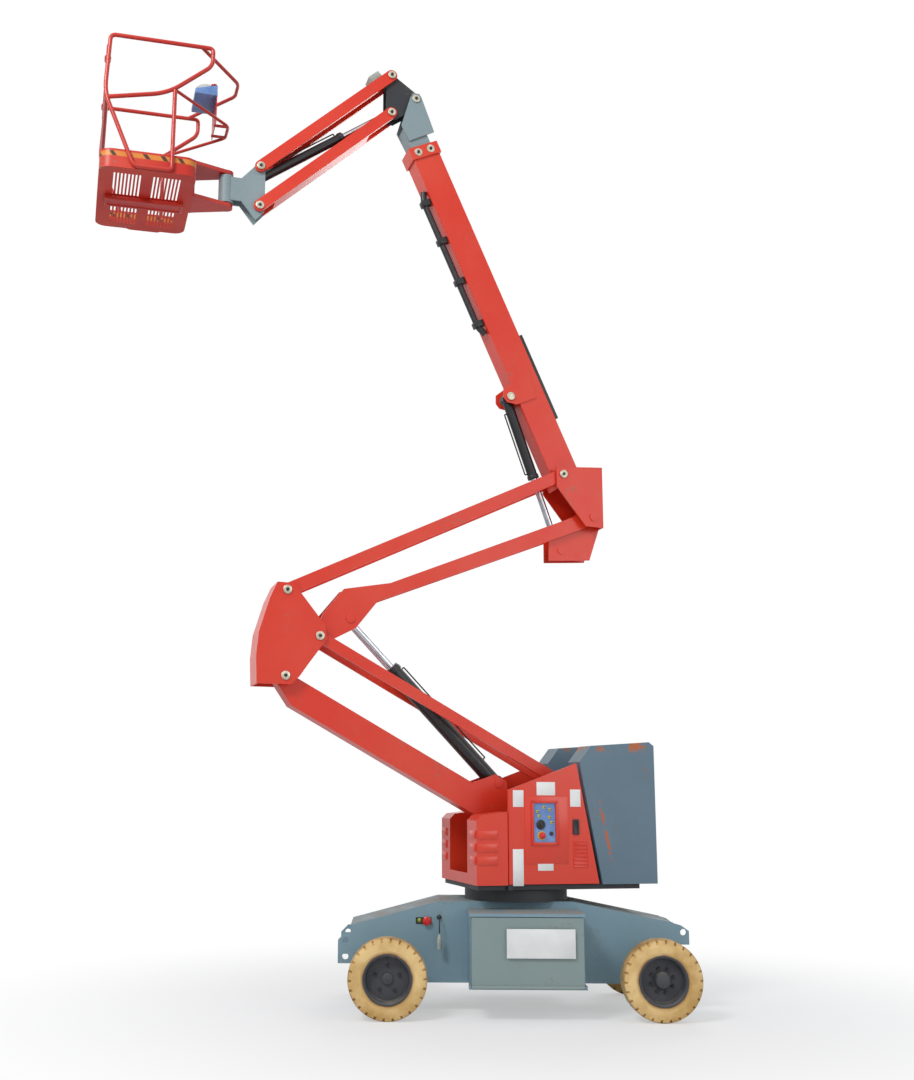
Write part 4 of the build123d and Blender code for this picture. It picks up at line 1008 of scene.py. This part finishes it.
# Console in the basket, with its cover, joystick, stop button and board
CONSOLE_WIDTH = 0.33
CONSOLE_SECTION = [(-2.756, 7.23), (-2.573, 7.23), (-2.573, 7.325), (-2.756, 7.275)]
CONSOLE_COVER = ((0.095, 0.0), (0.095, 0.02), (0.088, 0.045), (0.065, 0.062), (0.03, 0.07), (0.008, 0.072))
JOYSTICK = (
    (0.03, 0.0), (0.03, 0.012), (0.012, 0.035), (0.009, 0.06), (0.016, 0.075), (0.019, 0.11), (0.012, 0.13),
)
BOARD_OUTLINE = [(-0.16, 0.0), (0.16, 0.0), (0.16, 0.245), (-0.16, 0.245)]
on_edge = Matrix(((1, 0, 0, 0), (0, 0, -1, CONSOLE_WIDTH / 2.0), (0, 1, 0, 0), (0, 0, 0, 1)))
console = plate("console_box", CONSOLE_SECTION, CONSOLE_WIDTH, 0.008)
console = put(console, TURN @ on_edge, "panel_blue", "basket")
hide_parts("control_console")
cover = turned("console_cover", 32, CONSOLE_COVER)
put(cover, stand(spot(-2.655, 0.04, 7.292), UP, REAR), "console_plastic", "basket")
stick = turned("console_joystick", 20, JOYSTICK)
put(stick, stand(spot(-2.605, -0.11, 7.31), UP + REAR * 0.35), "black_plastic", "basket")
put(turned("console_stop_button", 28, MUSHROOM), stand(spot(-2.6, 0.135, 7.312), UP), "stop_red", "basket")
board = plate("console_board", BOARD_OUTLINE, 0.006, 0.0015)
put(board, stand(spot(-2.58, 0.0, 6.995), REAR, -NEAR), "basket_red_painted_shade", "basket")

# Pan under the basket, with its slots and channel
PAN_MIDDLE = -3.12
PAN_SIZE = (0.74, 1.12, 0.15)
PAN_SKIN = 0.004
PAN_CORNER = 0.09
SLOT_SIZE = (0.013, 0.38, 0.03)
SLOT_COUNT = 8
SLOT_PITCH = 0.028
SLOT_GROUP_OFF = (0.152, 0.27)


def slotted_pan():
    """The basket's pan, hollowed from a block with rounded corners and cut by rows of slots."""
    depth = PAN_SIZE[2]
    bpy.ops.object.select_all(action="DESELECT")
    bpy.ops.mesh.primitive_cube_add(size=1.0, location=(PAN_MIDDLE, 0.0, FLOOR + depth / 2.0), scale=PAN_SIZE)
    pan = bpy.context.active_object
    pan.name = "slotted_pan"
    bpy.ops.object.transform_apply(location=True, rotation=True, scale=True)
    bpy.ops.object.mode_set(mode="EDIT")
    bpy.ops.mesh.select_mode(type="EDGE")
    bpy.ops.mesh.select_all(action="DESELECT")
    mesh = bmesh.from_edit_mesh(pan.data)
    for edge in mesh.edges:
        edge.select_set(abs(edge.verts[0].co.z - edge.verts[1].co.z) > depth / 2.0)
    bmesh.update_edit_mesh(pan.data)
    bpy.ops.mesh.bevel(offset=PAN_CORNER, segments=8, affect="EDGES")
    pick_faces(pan, lambda middle, normal: normal.z > 0.9)
    bpy.ops.mesh.inset(thickness=PAN_SKIN)
    bpy.ops.mesh.extrude_region_move(TRANSFORM_OT_translate={"value": (0.0, 0.0, PAN_SKIN - depth)})
    bpy.ops.object.mode_set(mode="OBJECT")
    group_u, group_w = SLOT_GROUP_OFF
    centre = (SLOT_COUNT - 1) / 2.0
    slots = set_out(block("slots", SLOT_SIZE, 0.004), [
        Matrix.Translation((
            PAN_MIDDLE + half * group_u + (step - centre) * SLOT_PITCH,
            side * group_w,
            FLOOR - SLOT_SIZE[2] / 2.0,
        ))
        for half in (1.0, -1.0) for side in (1.0, -1.0) for step in range(SLOT_COUNT)
    ])
    cut = pan.modifiers.new("slots", "BOOLEAN")
    cut.operation = "DIFFERENCE"
    cut.solver = "EXACT"
    cut.object = slots
    take(pan)
    bpy.ops.object.modifier_apply(modifier=cut.name)
    bpy.data.objects.remove(slots)
    return set_out(pan, [TURN])


pan = finish_piece(slotted_pan(), "toe_board", "basket")
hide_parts("basket_floor")
channel = block("floor_channel", (0.62, 0.14, 0.042), 0.004, border=0.02, step=-0.01)
put(channel, stand(spot(PAN_MIDDLE, 0.0, FLOOR + SINK), -UP, REAR), "basket_red_painted_shade", "basket")


def studio():
    """Pale floor, soft lamps, a white background for the camera, and the camera at the photo's angle."""
    bpy.ops.object.select_all(action="DESELECT")
    bpy.ops.mesh.primitive_plane_add(size=400.0, location=(0.0, 0.0, 0.0))
    floor = bpy.context.active_object
    floor.name = "floor"
    material, tree, shader = new_material("pale_floor")
    shader.inputs["Roughness"].default_value = 0.9
    shader.inputs["Base Color"].default_value = (0.8, 0.8, 0.8, 1.0)
    glow = tree.nodes.new("ShaderNodeEmission")
    glow.inputs["Color"].default_value = (1.0, 1.0, 1.0, 1.0)
    glow.inputs["Strength"].default_value = 1.0
    place = tree.nodes.new("ShaderNodeTexCoord")
    reach = tree.nodes.new("ShaderNodeVectorMath")
    reach.operation = "LENGTH"
    tree.links.new(place.outputs["Object"], reach.inputs[0])
    whiten = tree.nodes.new("ShaderNodeMapRange")
    whiten.interpolation_type = "SMOOTHSTEP"
    for label, value in (("From Min", 1.2), ("From Max", 5.0), ("To Min", 0.45), ("To Max", 1.0)):
        whiten.inputs[label].default_value = value
    tree.links.new(reach.outputs["Value"], whiten.inputs["Value"])
    rays = tree.nodes.new("ShaderNodeLightPath")
    seen = tree.nodes.new("ShaderNodeMath")
    seen.operation = "MAXIMUM"
    tree.links.new(rays.outputs["Is Camera Ray"], seen.inputs[0])
    tree.links.new(rays.outputs["Is Transmission Ray"], seen.inputs[1])
    share = tree.nodes.new("ShaderNodeMath")
    share.operation = "MULTIPLY"
    tree.links.new(seen.outputs[0], share.inputs[0])
    tree.links.new(whiten.outputs["Result"], share.inputs[1])
    camera_only = tree.nodes.new("ShaderNodeMixShader")
    output = next(n for n in tree.nodes if n.type == "OUTPUT_MATERIAL")
    tree.links.new(share.outputs[0], camera_only.inputs["Fac"])
    tree.links.new(shader.outputs["BSDF"], camera_only.inputs[1])
    tree.links.new(glow.outputs["Emission"], camera_only.inputs[2])
    tree.links.new(camera_only.outputs["Shader"], output.inputs["Surface"])
    floor.data.materials.append(material)

    world = bpy.data.worlds.new("studio_world")
    bpy.context.scene.world = world
    world.use_nodes = True
    tree = world.node_tree
    tree.nodes.clear()
    soft = tree.nodes.new("ShaderNodeBackground")
    soft.inputs["Color"].default_value = (0.9, 0.94, 1.0, 1.0)
    soft.inputs["Strength"].default_value = 0.5
    white = tree.nodes.new("ShaderNodeBackground")
    white.inputs["Color"].default_value = (1.0, 1.0, 1.0, 1.0)
    white.inputs["Strength"].default_value = 1.0
    rays = tree.nodes.new("ShaderNodeLightPath")
    seen = tree.nodes.new("ShaderNodeMath")
    seen.operation = "MAXIMUM"
    tree.links.new(rays.outputs["Is Camera Ray"], seen.inputs[0])
    tree.links.new(rays.outputs["Is Transmission Ray"], seen.inputs[1])
    mirror = tree.nodes.new("ShaderNodeMath")
    mirror.operation = "MAXIMUM"
    tree.links.new(seen.outputs[0], mirror.inputs[0])
    tree.links.new(rays.outputs["Is Glossy Ray"], mirror.inputs[1])
    pick = tree.nodes.new("ShaderNodeMixShader")
    output = tree.nodes.new("ShaderNodeOutputWorld")
    tree.links.new(mirror.outputs[0], pick.inputs["Fac"])
    tree.links.new(soft.outputs["Background"], pick.inputs[1])
    tree.links.new(white.outputs["Background"], pick.inputs[2])
    tree.links.new(pick.outputs["Shader"], output.inputs["Surface"])

    for name, place, aim, size, power in (
        ("key_lamp", (-6.5, -9.0, 11.0), (-0.5, 0.0, 3.0), 3.5, 850.0),
        ("fill_lamp", (8.0, -8.0, 5.0), (0.0, 0.0, 3.0), 6.0, 170.0),
        ("back_lamp", (3.0, 9.0, 9.0), (0.0, 0.0, 4.0), 5.0, 230.0),
    ):
        data = bpy.data.lights.new(name, "AREA")
        data.size = size
        data.energy = power
        lamp = bpy.data.objects.new(name, data)
        bpy.context.collection.objects.link(lamp)
        lamp.location = place
        lamp.rotation_euler = (Vector(aim) - Vector(place)).to_track_quat("-Z", "Y").to_euler()

    data = bpy.data.cameras.new("camera")
    data.sensor_width = 36.0
    data.sensor_fit = "AUTO"
    data.lens = FOCAL_PIXELS / PHOTO_SIZE[1] * data.sensor_width
    data.shift_x = (PHOTO_SIZE[0] / 2.0 - PRINCIPAL[0]) / PHOTO_SIZE[1]
    data.shift_y = (PRINCIPAL[1] - PHOTO_SIZE[1] / 2.0) / PHOTO_SIZE[1]
    data.clip_end = 500.0
    camera = bpy.data.objects.new("camera", data)
    bpy.context.collection.objects.link(camera)
    tilt = math.radians(CAMERA_TILT)
    roll = math.radians(CAMERA_ROLL)
    look = Vector((0.0, math.cos(tilt), math.sin(tilt)))
    right = Vector((1.0, 0.0, 0.0))
    upward = right.cross(look)
    right, upward = (
        math.cos(roll) * right + math.sin(roll) * upward,
        math.cos(roll) * upward - math.sin(roll) * right,
    )
    turn = Matrix((right, upward, -look)).transposed()
    camera.matrix_world = Matrix.Translation(CAMERA_POINT) @ turn.to_4x4()
    bpy.context.scene.camera = camera
    bpy.context.scene.view_settings.view_transform = "Standard"


studio()
